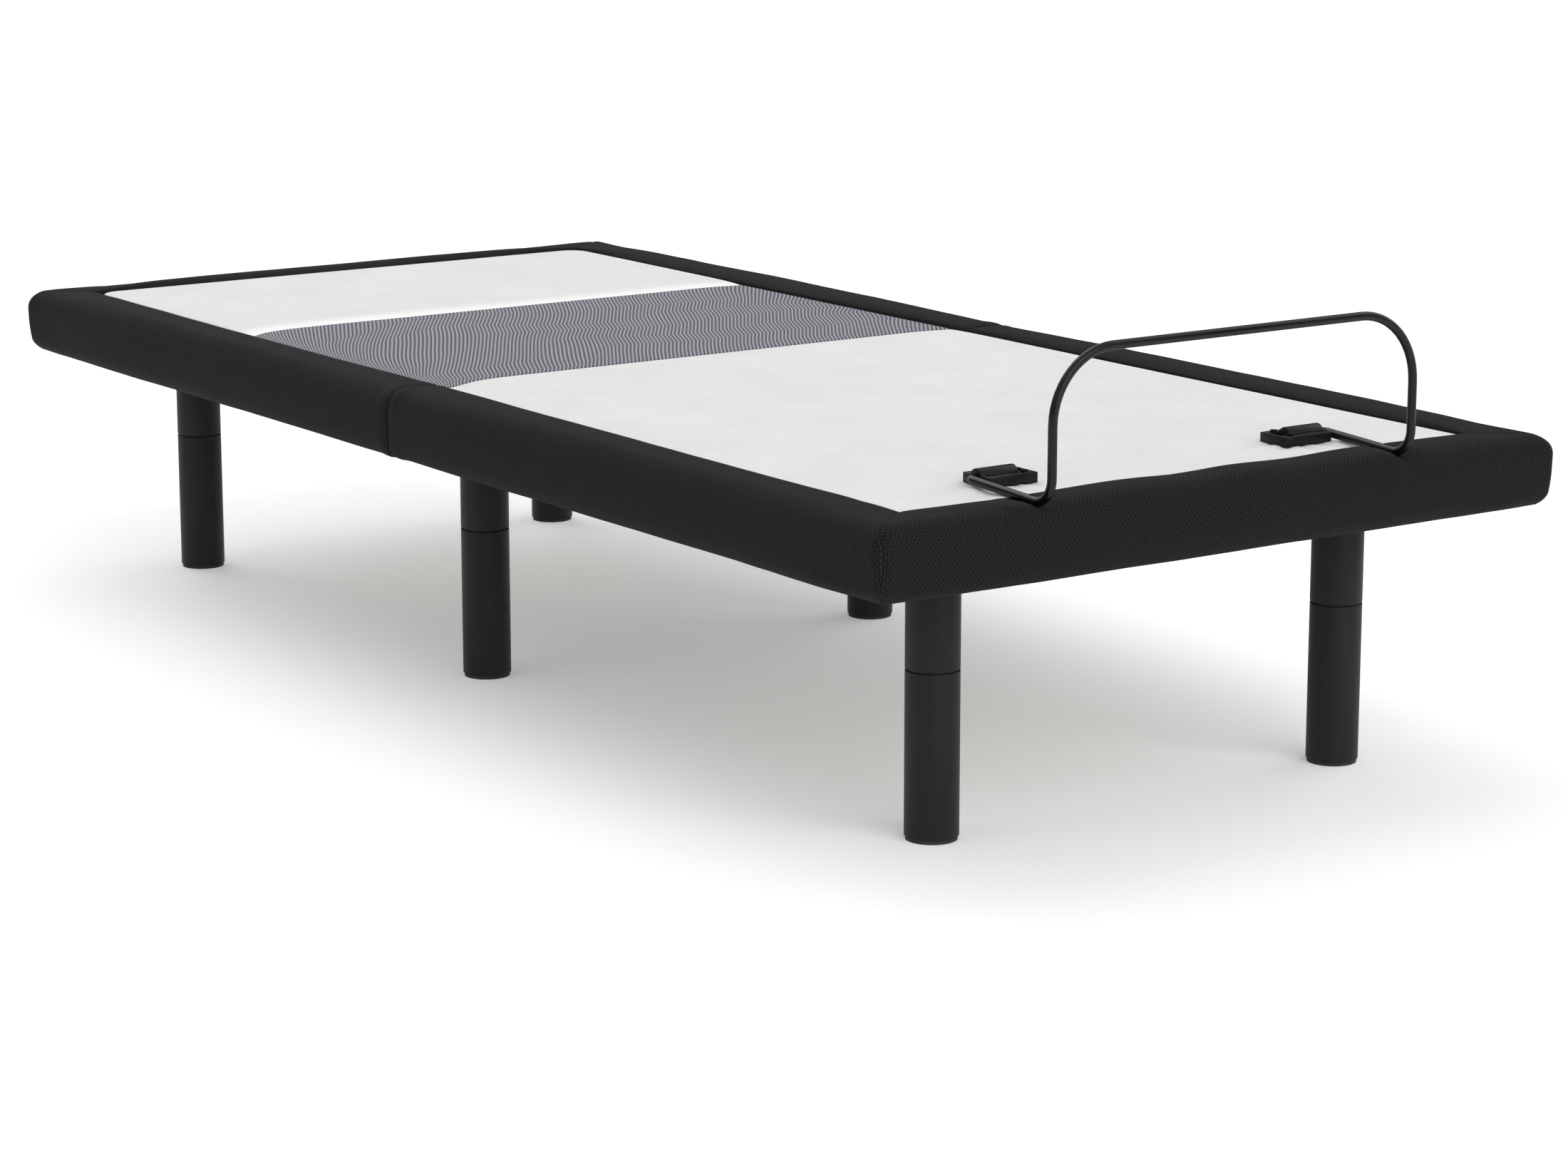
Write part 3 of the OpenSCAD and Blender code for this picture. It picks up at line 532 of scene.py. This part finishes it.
def rail_rings(end, side, cross, inner_end):
    """Rings of a U-shaped rail from its left split end, round both corners, to its right split end.

    Also gives the run, side or end, that each ring is in.
    """
    border = side[:, 0].max()
    out = side[:, 0] / border
    corner_r = INNER_R + (CORNER_R - INNER_R) * out ** 2
    corner_r[OUTER_POINTS:] = INNER_R
    outline = np.roll(side, -1, 0) - np.roll(side, 1, 0)
    outline /= np.linalg.norm(outline, axis=1)[:, None]
    inward = np.stack([outline[:, 1], -outline[:, 0]], 1)
    inward[OUTER_POINTS:] = 0
    start_y = SPLIT_Y + end * SEAM_GAP
    corner_x = INNER_X + side[:, 0]
    corner_y = end * (inner_end + cross[:, 0])
    rings = []
    runs = []
    for t in rail_stations(abs(corner_y[0] - start_y)):
        y = start_y + (corner_y - end * corner_r - start_y) * t
        tuck = max(0.0, END_R - abs(y[0] - start_y))
        roll = END_R - math.sqrt(END_R ** 2 - tuck ** 2)
        rings.append(np.stack([-corner_x - inward[:, 0] * roll, y, side[:, 1] + inward[:, 1] * roll], 1))
        runs.append("side")
    for k in range(1, CORNER_STEPS):
        turn = math.pi / 2 * k / CORNER_STEPS
        x = -corner_x + corner_r * (1 - math.cos(turn))
        y = corner_y - end * corner_r * (1 - math.sin(turn))
        share = k / CORNER_STEPS
        rings.append(np.stack([x, y, side[:, 1] * (1 - share) + cross[:, 1] * share], 1))
        runs.append("side" if 2 * k < CORNER_STEPS else "end")
    left_count = len(rings)
    half_x = -corner_x + corner_r
    for t in rail_stations(2 * INNER_X):
        rings.append(np.stack([half_x * (1 - 2 * t), corner_y, cross[:, 1]], 1))
        runs.append("end")
    rings += [ring * (-1, 1, 1) for ring in reversed(rings[:left_count])]
    runs += runs[:left_count - 1][::-1]
    return rings, runs


def corner_relief(z, out_side, out_end, border, end_border, share):
    """What a rail's corners add: a pinched mitre seam on top, and stuffing that fills the edge."""
    top = np.clip((z - RAIL_TOP + 12 * MM) / (12 * MM), 0, 1)
    face = np.clip((share - 0.8) / 0.2, 0, 1)
    height = np.clip((z - RAIL_LOW) / (RAIL_TOP - RAIL_LOW), 0, 1)
    mitre = (out_side * end_border - out_end * border) / math.hypot(border, end_border)
    at_corner = (out_side > -30 * MM) & (out_end > -30 * MM)
    near = np.where(at_corner, np.abs(mitre), 1.0)
    pinch = top * (0.7 * MM * bell(near, 1.6 * MM) + 0.4 * MM * bell(near, 6 * MM))
    roll = smooth((z - RAIL_TOP + 36 * MM) / (28 * MM)) * smooth((share - 0.5) / 0.3)
    belly = 3.0 * MM * np.sin(math.pi * height) - 4.0 * MM * (1 - height) ** 2
    return (1.2 * MM * roll + face * belly) * bell(near, 34 * MM) - pinch


def rail_relief(points, end, inner_end, border, end_border):
    """How far each point of a rail's outer cloth stands proud: crown, bulge, corners, seam and creases."""
    x, y, z = points[:, 0], points[:, 1], points[:, 2]
    out_side = np.abs(x) - INNER_X
    out_end = end * y - inner_end
    share = np.clip(np.maximum(out_side / border, out_end / end_border), 0, 1)
    top = np.clip((z - RAIL_TOP + 12 * MM) / (12 * MM), 0, 1)
    face = np.clip((share - 0.8) / 0.2, 0, 1)
    height = np.clip((z - RAIL_LOW) / (RAIL_TOP - RAIL_LOW), 0, 1)
    rise = 1.2 * MM * top * np.sin(math.pi * share)
    rise += 0.6 * MM * face * np.sin(math.pi * height)
    rise += corner_relief(z, out_side, out_end, border, end_border, share)
    for k in range(len(points)):
        rise[k] += 0.9 * MM * wander(x[k], y[k], z[k], 0.16, 3.0 + end)
        rise[k] += 0.3 * MM * wander(x[k], y[k], z[k], 0.045, 8.0 + end)
    rise += 1.2 * MM * bell(np.abs(y - SPLIT_Y) - 14 * MM, 10 * MM)
    if end < 0:
        # The foot rail's foam gives way under the wire, and its top edge waves a little.
        rise -= (BAR_SAG + 1.5 * MM) * top * bell(np.abs(x) - BAR_HALF, 11 * MM)
        rise += 1.4 * MM * top * np.sin(x * 2 * math.pi / 0.27 + 2.2 * np.sin(x * 7))
    return rise * np.clip(share / 0.06, 0, 1)


def swell(piece, held, freedom, pressure, cap):
    """Puffs a padded piece up by a short cloth simulation. Held points stay, and none moves beyond cap.

    freedom is the share of its movement that each point keeps.
    """
    before = coordinates(piece)
    piece.vertex_groups.new(name="held").add([int(k) for k in np.flatnonzero(held)], 1.0, "ADD")
    cloth = piece.modifiers.new("cloth", "CLOTH")
    cloth.settings.quality = 4
    cloth.settings.vertex_group_mass = "held"
    cloth.settings.use_pressure = True
    cloth.settings.uniform_pressure_force = pressure
    cloth.settings.effector_weights.gravity = 0
    cloth.collision_settings.use_collision = False
    cloth.point_cache.frame_end = CLOTH_FRAMES
    for moment in range(1, CLOTH_FRAMES + 1):
        bpy.context.scene.frame_set(moment)
    apply_modifiers(piece)
    bpy.context.scene.frame_set(1)
    moved = coordinates(piece) - before
    length = np.linalg.norm(moved, axis=1)
    limited = freedom * cap * np.tanh(length / cap) / np.maximum(length, 1e-9)
    move_points(piece, before + moved * limited[:, None])
    piece.vertex_groups.clear()


def rail_faces(ring_count, count):
    """Faces between rings of count points each, with a cap at both ends."""
    faces = []
    for i in range(ring_count - 1):
        for j in range(count):
            k = (j + 1) % count
            faces.append((i * count + j, i * count + k, (i + 1) * count + k, (i + 1) * count + j))
    faces.append(tuple(range(count)))
    faces.append(tuple((ring_count - 1) * count + j for j in reversed(range(count))))
    return faces


def weave_rail(piece, side, runs):
    """Writes a rail's cloth coordinates: along the rail, and round its outline."""
    count = len(side)
    around = np.concatenate([[0], np.cumsum(np.linalg.norm(np.diff(side, axis=0), axis=1))])
    layer = piece.data.uv_layers.new(name="weave")
    for face in piece.data.polygons[:len(runs) * count]:
        ring, first = divmod(face.index, count)
        for loop in face.loop_indices:
            point = piece.data.loops[loop].vertex_index
            place = piece.data.vertices[point].co
            along = place.y if runs[ring] == "side" else place.x
            step = point % count
            closing = step == 0 and first == count - 1
            layer.data[loop].uv = (along, around[-1] + 6 * MM if closing else around[step])


def padded_rail(name, end, inner_end, tube_in, node):
    """One half of the padded rails: a U of foam and cloth hollowed for the steel tubes."""
    border = HALF_W - INNER_X
    end_border = HALF_L - inner_end
    side = rail_profile(border, TUBE_X - INNER_X)
    cross = rail_profile(end_border, tube_in)
    rings, runs = rail_rings(end, side, cross, inner_end)
    piece = new_mesh(name, np.concatenate(rings), rail_faces(len(rings), len(side)), "rail_fabric")
    face_outwards(piece)
    points = coordinates(piece)
    step = np.arange(len(points)) % len(side)
    lift = rail_relief(points, end, inner_end, border, end_border)
    lift[step >= OUTER_POINTS] = 0
    move_points(piece, points + normals(piece) * lift[:, None])
    weave_rail(piece, side, runs)
    corner = np.hypot(HALF_W - np.abs(points[:, 0]), HALF_L - end * points[:, 1])
    held = (step < 4) | (step >= OUTER_POINTS - 2) | (np.abs(points[:, 1] - SPLIT_Y) < 5 * MM)
    swell(piece, held, smooth(corner / CORNER_CALM - 0.6), 4.0, 3 * MM)
    points = coordinates(piece)
    points[:, 1] = SPLIT_Y + end * np.maximum(end * (points[:, 1] - SPLIT_Y), SEAM_GAP)
    move_points(piece, points)
    sharpen(piece, 70)
    return dress(piece, "base", "rail_fabric", node)


# ------------------------------------------------------------------ deck covers

COVER_STEP = 7 * MM
COVER_LOW = BOARD_TOP + 0.2 * MM
ROLL_R = 2.8 * MM
CORNER_SWEEP = 30 * MM
SEAT_CUT = 0.100
THIGH_CUT = -0.200
SEAM_ROOM = 0.3 * MM
CREASE_X = BRACKET_OUT - 39 * MM
CREASE_SPOTS = [(-CREASE_X, BAR_HINGE.y), (CREASE_X, BAR_HINGE.y)]
CREASE_REACH = 0.36

# How far the band's seams are pulled aside next to a rail, and how far from the rail that shows.
UPPER_PULL, UPPER_REACH = 36 * MM, 30 * MM
LOWER_PULL, LOWER_REACH = 34 * MM, 52 * MM
RIGHT_PULL, RIGHT_REACH = 9 * MM, 30 * MM


def band_edge(y, x):
    """A cross seam of the ribbed band, which its stretch pulls towards the foot beside the rails."""
    left = x + DECK_X
    if y > BAND_MIDDLE:
        pull = UPPER_PULL * math.exp(-left / UPPER_REACH)
    else:
        pull = LOWER_PULL * math.exp(-(left / LOWER_REACH) ** 2)
    return y - pull - RIGHT_PULL * math.exp(-((DECK_X - x) / RIGHT_REACH) ** 2)


def deck_relief(x, y):
    """Height of the white cloth's slack over the flat board: faint swells and pulled creases."""
    rise = 0.9 * MM * wander(x, y, 0, 0.22, 1.0) + 0.35 * MM * wander(x, y, 0, 0.07, 5.0)
    for spot_x, spot_y in CREASE_SPOTS:
        away_x, away_y = x - spot_x, y - spot_y
        reach = math.hypot(away_x, away_y)
        if reach < CREASE_REACH:
            turn = math.atan2(away_y, away_x)
            fan = math.sin(8 * turn + 1.6 * wander(x, y, 0, 0.12, 9.0))
            rise += 1.3 * MM * fan * math.exp(-(reach - 0.05) / 0.11) * min(1.0, reach / 0.05)
    hem = y - DECK_FOOT
    ripple = math.sin(hem * 2 * math.pi / 0.034 + 2 * wander(x, y, 0, 0.1, 4.0))
    return rise + 0.5 * MM * ripple * math.exp(-hem / 0.03)


def grid_lines(low, high, roll_low, roll_high, step):
    """Offsets from low to high: fine where an edge rolls over, and otherwise one every step."""
    fine = [ROLL_R * (1 - math.cos(math.pi / 2 * k / 4)) for k in range(5)]
    start = [low + f for f in fine] + [low + 7 * MM] if roll_low else [low]
    stop = [high - 7 * MM] + [high - f for f in reversed(fine)] if roll_high else [high]
    count = max(1, round((stop[0] - start[-1]) / step))
    return start + [start[-1] + (stop[0] - start[-1]) * k / count for k in range(1, count)] + stop


def rounded_corner(x, y, corners):
    """Slides a point near a rounded corner of a cover inwards, onto arcs round that corner."""
    for corner_x, corner_y in corners:
        centre_x = corner_x - math.copysign(CORNER_SWEEP, corner_x)
        centre_y = corner_y - math.copysign(CORNER_SWEEP, corner_y)
        dx = (x - centre_x) * math.copysign(1, corner_x)
        dy = (y - centre_y) * math.copysign(1, corner_y)
        if dx > 0 and dy > 0:
            shrink = max(dx, dy) / math.hypot(dx, dy)
            x = centre_x + (x - centre_x) * shrink
            y = centre_y + (y - centre_y) * shrink
    return x, y


def cover(name, material, low_edge, high_edge, rolled, top, relief, corners=()):
    """A closed cloth-covered slab over part of the deck. low_edge and high_edge give y at each x."""
    xs = grid_lines(-DECK_X, DECK_X, True, True, COVER_STEP)
    ys = grid_lines(low_edge(0), high_edge(0), rolled[0], rolled[1], COVER_STEP)
    middle = (COVER_LOW + top(0, ys[len(ys) // 2])) / 2
    upper, lower = [], []
    for row, y0 in enumerate(ys):
        share = (y0 - ys[0]) / (ys[-1] - ys[0])
        for x0 in xs:
            y = y0 + (low_edge(x0) - ys[0]) * (1 - share) + (high_edge(x0) - ys[-1]) * share
            sides = [DECK_X - abs(x0)]
            sides += [y0 - ys[0]] if rolled[0] else []
            sides += [ys[-1] - y0] if rolled[1] else []
            inside = min(1.0, min(sides) / ROLL_R)
            swell = math.sqrt(max(0.0, 1 - (1 - inside) ** 2))
            x, y = rounded_corner(x0, y, corners)
            settle = min(1.0, min(sides) / (14 * MM))
            height = top(x, y) + relief(x, y) * settle
            upper.append((x, y, middle + (height - middle) * swell))
            lower.append((x, y, middle + (COVER_LOW - middle) * swell))
    wide, long = len(xs), len(ys)
    rim = set(range(wide)) | set(range((long - 1) * wide, long * wide))
    rim |= {row * wide for row in range(long)} | {row * wide + wide - 1 for row in range(long)}
    welded = {k for k in rim if abs(upper[k][2] - lower[k][2]) < 1e-6}
    points = list(upper)
    under = {}
    for k, point in enumerate(lower):
        under[k] = k if k in welded else len(points)
        if k not in welded:
            points.append(point)
    faces = []
    for row in range(long - 1):
        for k in range(row * wide, row * wide + wide - 1):
            faces.append((k, k + 1, k + wide + 1, k + wide))
            faces.append((under[k], under[k + wide], under[k + wide + 1], under[k + 1]))
    for row, turned in ((0, not rolled[0]), (long - 1, not rolled[1])):
        for k in range(row * wide, row * wide + wide - 1) if turned else ():
            wall = [k, under[k], under[k + 1], k + 1]
            faces.append(tuple(dict.fromkeys(wall if row == 0 else wall[::-1])))
    piece = new_mesh(name, points, faces, material)
    face_outwards(piece)
    sharpen(piece, 60)
    set_weave(piece, lambda corner: (corner.x, corner.y + BAND_TOP - band_edge(BAND_TOP, corner.x)))
    return piece


def panel_top(crown, edge_y, direction):
    """Height of a white panel: level, and falling away over its last stretch beside the band."""
    def top(x, y):
        inside = (y - band_edge(edge_y, x)) * direction
        return DECK_TOP + crown - (crown + 1.6 * MM) * math.exp(-max(0.0, inside) / 0.022)
    return top


def band_top(x, y):
    return DECK_TOP - 0.6 * MM + 0.25 * MM * wander(x, y, 0, 0.15, 2.0)


def flat(x, y):
    return 0.0


def upper_seam(x):
    """Where the head panel meets the band, x to the right."""
    return band_edge(BAND_TOP, x)


def lower_seam(x):
    """Where the foot panel meets the band, x to the right."""
    return band_edge(BAND_LOW, x)


def make_covers():
    """The five cloth covers, split under the seams and at two cuts across the deck."""
    corners = [(-DECK_X, DECK_HEAD), (DECK_X, DECK_HEAD)]
    head = cover("head_cover", "deck_fabric", upper_seam, lambda x: DECK_HEAD, (True, True),
                 panel_top(1.2 * MM, BAND_TOP, 1), deck_relief, corners)
    dress(head, "back", "deck_fabric", "head_pad")
    back = cover("back_band", "band_fabric", lambda x: SEAT_CUT, lambda x: upper_seam(x) - SEAM_ROOM,
                 (False, True), band_top, flat)
    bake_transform(back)
    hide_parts("back_band_pad")
    seat = cover("seat_band", "band_fabric", lower_seam, lambda x: SEAT_CUT, (True, False), band_top, flat)
    dress(seat, "base", "band_fabric", "seat_pad")
    foot_top = panel_top(0.0, BAND_LOW, -1)
    thigh = cover("thigh_cover", "deck_fabric", lambda x: THIGH_CUT, lambda x: lower_seam(x) - SEAM_ROOM,
                  (False, True), foot_top, deck_relief)
    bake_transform(thigh)
    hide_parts("thigh_pad", "seat_front_pad")
    calf = cover("calf_cover", "deck_fabric", lambda x: DECK_FOOT, lambda x: THIGH_CUT, (True, False),
                 foot_top, deck_relief)
    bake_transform(calf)
    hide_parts("calf_pad")


# ------------------------------------------------------------------ legs

def turned(name, centre, outline, material, segments=72):
    """A solid turned round a vertical axis; its outline of (radius, height) starts and ends on the axis."""
    points = [(centre.x, centre.y, outline[0][1])]
    faces = []
    rings = outline[1:-1]
    for radius, height in rings:
        for k in range(segments):
            turn = 2 * math.pi * k / segments
            points.append((centre.x + radius * math.cos(turn), centre.y + radius * math.sin(turn), height))
    points.append((centre.x, centre.y, outline[-1][1]))
    for k in range(segments):
        after = (k + 1) % segments
        faces.append((0, 1 + after, 1 + k))
        for ring in range(len(rings) - 1):
            base = 1 + ring * segments
            faces.append((base + k, base + after, base + segments + after, base + segments + k))
        last = 1 + (len(rings) - 1) * segments
        faces.append((last + k, last + after, len(points) - 1))
    piece = new_mesh(name, points, faces, material)
    face_outwards(piece)
    sharpen(piece, 50)
    return piece


def arc(centre_r, centre_z, radius, start, stop, steps=5):
    """Points (radius, height) of a fillet, between two angles in degrees."""
    turns = [math.radians(start + (stop - start) * k / steps) for k in range(steps + 1)]
    return [(centre_r + radius * math.cos(t), centre_z + radius * math.sin(t)) for t in turns]


LEG_PLACES = ("foot_left", "foot_right", "mid_left", "mid_right", "head_left", "head_right")
STUD_L = 24 * MM
LEG_EDGE = 1.2 * MM
TOP_EDGE = 0.8 * MM
GROOVE_D = 1.9 * MM
GROOVE_H = 1.2 * MM


def make_legs():
    """Upper and lower length of each leg, with eased edges and a thin groove at the joint."""
    for place in LEG_PLACES:
        low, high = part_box("lower_leg_" + place)
        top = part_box("upper_leg_" + place)[1].z - STUD_L
        radius = (high.x - low.x) / 2
        centre = (low + high) / 2
        joint = high.z
        rim = radius - LEG_EDGE
        neck = radius - GROOVE_D
        lower = [(0, low.z)] + arc(rim, low.z + LEG_EDGE, LEG_EDGE, -90, 0)
        lower += arc(rim, joint - GROOVE_H - LEG_EDGE, LEG_EDGE, 0, 90)
        lower += [(neck, joint - GROOVE_H), (neck, joint - 0.1 * MM), (0, joint - 0.1 * MM)]
        piece = turned("leg_lower_" + place, centre, lower, "leg_black")
        dress(piece, "base", "leg_black", "lower_leg_" + place)
        upper = [(0, joint)] + arc(rim, joint + LEG_EDGE, LEG_EDGE, -90, 0)
        upper += arc(radius - TOP_EDGE, top - TOP_EDGE, TOP_EDGE, 0, 90, 3) + [(0, top)]
        piece = turned("leg_upper_" + place, centre, upper, "leg_black")
        dress(piece, "base", "leg_black", "upper_leg_" + place)


# ------------------------------------------------------------------ retainer bar and brackets

def bent_path(corners, steps=14):
    """Points along a wire that bends at its corners: each corner is (point, bend radius)."""
    path = [Vector(corners[0][0])]
    for i in range(1, len(corners) - 1):
        here, radius = Vector(corners[i][0]), corners[i][1]
        back = (Vector(corners[i - 1][0]) - here).normalized()
        on = (Vector(corners[i + 1][0]) - here).normalized()
        half = back.angle(on) / 2
        first = here + back * radius / math.tan(half)
        middle = here + (back + on).normalized() * radius / math.sin(half)
        axis = back.cross(on)
        sweep = -(math.pi - 2 * half)
        for k in range(steps + 1):
            path.append(middle + Matrix.Rotation(sweep * k / steps, 3, axis) @ (first - middle))
    path.append(Vector(corners[-1][0]))
    return path


def swept_rod(name, path, radius, material, sides=24):
    """A round rod along a path, with eased ends."""
    start = (path[1] - path[0]).normalized()
    stop = (path[-1] - path[-2]).normalized()
    ease = radius * 0.2
    stations = [(path[0], radius - ease)] + [(path[0] + start * ease, radius)]
    stations += [(p, radius) for p in path[1:-1]]
    stations += [(path[-1] - stop * ease, radius), (path[-1], radius - ease)]
    side = start.orthogonal().normalized()
    points, faces = [], []
    for i, (place, size) in enumerate(stations):
        ahead = stations[min(i + 1, len(stations) - 1)][0] - stations[max(i - 1, 0)][0]
        ahead.normalize()
        side = (side - ahead * side.dot(ahead)).normalized()
        other = ahead.cross(side)
        for k in range(sides):
            turn = 2 * math.pi * k / sides
            points.append(place + (side * math.cos(turn) + other * math.sin(turn)) * size)
        for k in range(sides) if i else ():
            after = (k + 1) % sides
            base = (i - 1) * sides
            faces.append((base + k, base + after, base + sides + after, base + sides + k))
    faces.append(tuple(range(sides)))
    faces.append(tuple(len(points) - 1 - k for k in range(sides)))
    piece = new_mesh(name, points, faces, material)
    face_outwards(piece)
    sharpen(piece, 45)
    return piece


def make_bar():
    """The bent wire: a stub in each bracket, a run over the foot rail, and a tall loop."""
    x, y, z = BAR_HALF, BAR_HINGE.y, BAR_HINGE.z
    stub = BRACKET_OUT - HUMP_L + 8 * MM
    half = [((-stub, y, z), 0), ((-x, y, z), HOOK_R), ((-x, BAR_UP_Y, z - BAR_SAG), FOOT_BEND_R),
            ((-x, BAR_UP_Y, BAR_TOP), UPPER_BEND_R)]
    mirrored = [((-p[0], p[1], p[2]), r) for p, r in reversed(half)]
    bar = swept_rod("retainer_wire", bent_path(half + mirrored), ROD_R, "bar_paint")
    dress(bar, "retainer_bar", "bar_paint", "retainer_bar")


def extruded(name, outline, along, low, high, material):
    """A solid with an outline of (x, y) drawn out along Z, or of (y, z) drawn out along X."""
    place = (lambda a, b, c: (a, b, c)) if along == "z" else (lambda a, b, c: (c, a, b))
    count = len(outline)
    points = [place(a, b, low) for a, b in outline] + [place(a, b, high) for a, b in outline]
    faces = [(k, (k + 1) % count, count + (k + 1) % count, count + k) for k in range(count)]
    faces += [tuple(range(count)), tuple(range(count, 2 * count))]
    piece = new_mesh(name, points, faces, material)
    face_outwards(piece)
    return piece


def block(low, high):
    """A box used as a cutting tool."""
    corners = [(low[0], low[1]), (high[0], low[1]), (high[0], high[1]), (low[0], high[1])]
    return extruded("tool", corners, "z", low[2], high[2], "bracket_plastic")


def combine(piece, operation, tools):
    """Adds or cuts each tool, and removes it."""
    for tool in tools:
        step = piece.modifiers.new("combine", "BOOLEAN")
        step.operation = operation
        step.solver = "EXACT"
        step.object = tool
        apply_modifiers(piece)
        bpy.data.objects.remove(tool)


def ease_edges(piece, width):
    """Rounds a piece's sharp edges."""
    step = piece.modifiers.new("ease", "BEVEL")
    step.width = width
    step.segments = 2
    step.limit_method = "ANGLE"
    step.angle_limit = math.radians(40)
    step.use_clamp_overlap = True
    apply_modifiers(piece)


def bracket_cuts(y, z):
    """Tools for the rod's bore, the open end under it, the slots beside the housing and the top recess."""
    inner = BRACKET_OUT - HUMP_L
    front = y - HUMP_R
    over = z + BRACKET_H + MM
    bore_r = ROD_R + 0.3 * MM
    turns = [math.pi * k / 16 for k in range(32)]
    circle = [(y + bore_r * math.cos(t), BAR_HINGE.z + bore_r * math.sin(t)) for t in turns]
    bore = extruded("tool", circle, "x", BRACKET_OUT - 12 * MM, BRACKET_OUT + MM, "bracket_plastic")
    return [
        bore,
        block((BRACKET_OUT - 9 * MM, y - 21 * MM, z + 2 * MM), (BRACKET_OUT + MM, y - 2 * MM, z + 9.6 * MM)),
        block((inner + 14 * MM, front - 2.2 * MM, z + 10.8 * MM), (BRACKET_OUT - 15 * MM, front, over)),
        block((inner + 3 * MM, front - 4 * MM, z + 7 * MM), (inner + 14 * MM, front, over)),
        block((BRACKET_OUT - 15 * MM, front - 4 * MM, z + 7 * MM), (BRACKET_OUT - 3 * MM, front, over)),
        block((BRACKET_IN + 2.5 * MM, y - 9 * MM, z + 8 * MM), (inner - 2 * MM, y + 9 * MM, over))]


def make_brackets():
    """Two moulded brackets: a flat base with slots and recesses, and a half-round housing for the rod."""
    y, z = BAR_HINGE.y, DECK_TOP
    near, far = y - BRACKET_HALF_D, y + BRACKET_HALF_D
    base_outline = [(BRACKET_IN, near), (BRACKET_OUT, near), (BRACKET_OUT, far), (BRACKET_IN, far)]
    turns = [math.pi * k / 24 for k in range(25)]
    housing_outline = [(y + HUMP_R * math.cos(t), BAR_HINGE.z + HUMP_R * math.sin(t)) for t in turns]
    housing_outline += [(y - HUMP_R, z + 3 * MM), (y + HUMP_R, z + 3 * MM)]
    for side, name in ((-1, "left"), (1, "right")):
        piece = extruded("bar_bracket_" + name, base_outline, "z", z + 0.05 * MM, z + BRACKET_H,
                         "bracket_plastic")
        ease_edges(piece, 1.0 * MM)
        housing = extruded("tool", housing_outline, "x", BRACKET_OUT - HUMP_L, BRACKET_OUT - 0.2 * MM,
                           "bracket_plastic")
        ease_edges(housing, 0.8 * MM)
        combine(piece, "UNION", [housing])
        combine(piece, "DIFFERENCE", bracket_cuts(y, z))
        if side < 0:
            move_points(piece, coordinates(piece) * (-1, 1, 1))
            piece.data.flip_normals()
        sharpen(piece, 35)
        dress(piece, "calf", "bracket_plastic", "retainer_brackets")


# ------------------------------------------------------------------ floor, lights and camera

# Name, direction it comes from (degrees round from +X, degrees up), spread in degrees, share of full light.
SUNS = (("overhead", 0, 90, 80, 0.15), ("right", 0, 30, 60, 0.30), ("left", 180, 30, 60, 0.16),
        ("head_low", 90, 30, 60, 0.22), ("head_high", 90, 55, 60, 0.28), ("foot_low", 270, 30, 60, 0.56))
FLOOR_HALF = 40
FLOOR_GLOW = 0.26
ROOM_LIGHT = 0.1


def make_room():
    """A white room that lights the object only faintly."""
    world = bpy.data.worlds.new("studio")
    bpy.context.scene.world = world
    world.use_nodes = True
    tree = world.node_tree
    back = tree.nodes["Background"]
    back.inputs["Color"].default_value = (1, 1, 1, 1)
    seen = tree.nodes.new("ShaderNodeMapRange")
    seen.inputs["To Min"].default_value = ROOM_LIGHT
    tree.links.new(tree.nodes.new("ShaderNodeLightPath").outputs["Is Camera Ray"], seen.inputs["Value"])
    tree.links.new(seen.outputs[0], back.inputs["Strength"])


def make_stage():
    """A plain pale floor that glows a little, under wide soft lights from every side."""
    floor = bpy.data.objects.new("floor", bpy.data.meshes.new("floor"))
    bpy.context.scene.collection.objects.link(floor)
    corners = [(x * FLOOR_HALF, y * FLOOR_HALF, 0) for x, y in ((-1, -1), (1, -1), (1, 1), (-1, 1))]
    floor.data.from_pydata(corners, [], [(0, 1, 2, 3)])
    made = Shader("floor_paper", 0.9, Specular_IOR_Level=0.1)
    made.bsdf.inputs["Emission Color"].default_value = (1, 1, 1, 1)
    made.bsdf.inputs["Emission Strength"].default_value = FLOOR_GLOW
    tone = made.noise(made.place(0.7, 0.7, 0.7), 1.0, 2.0)
    floor.data.materials.append(made.finish(made.mix(tone, (0.86, 0.86, 0.86), (0.88, 0.88, 0.88))))
    make_room()
    for name, azimuth, elevation, spread, share in SUNS:
        lamp = bpy.data.lights.new(name, "SUN")
        lamp.angle = math.radians(spread)
        lamp.energy = math.pi * share
        holder = bpy.data.objects.new(name, lamp)
        holder.rotation_euler = (0, math.radians(90 - elevation), math.radians(azimuth))
        bpy.context.scene.collection.objects.link(holder)
    bpy.context.scene.view_settings.view_transform = "Standard"


def make_camera():
    """A long lens low over the floor, off the foot end's left corner."""
    lens = bpy.data.cameras.new("camera")
    lens.lens = 95.34
    lens.sensor_width = 36
    lens.clip_end = 200
    camera = bpy.data.objects.new("camera", lens)
    camera.location = (-2.8768, -4.3040, 1.2238)
    camera.rotation_euler = (math.pi / 2 - 0.21645, 0, -0.6068)
    bpy.context.scene.collection.objects.link(camera)
    bpy.context.scene.camera = camera


# ------------------------------------------------------------------ build

make_camera()
make_stage()
paint_cad_nodes()
padded_rail("head_rail", 1, INNER_HEAD, FRAME_HEAD - TUBE_W - INNER_HEAD, "head_rail_wrap")
padded_rail("foot_rail", -1, -INNER_FOOT, INNER_FOOT - FRAME_FOOT - TUBE_W, "foot_rail_wrap")
make_covers()
make_legs()
make_bar()
make_brackets()
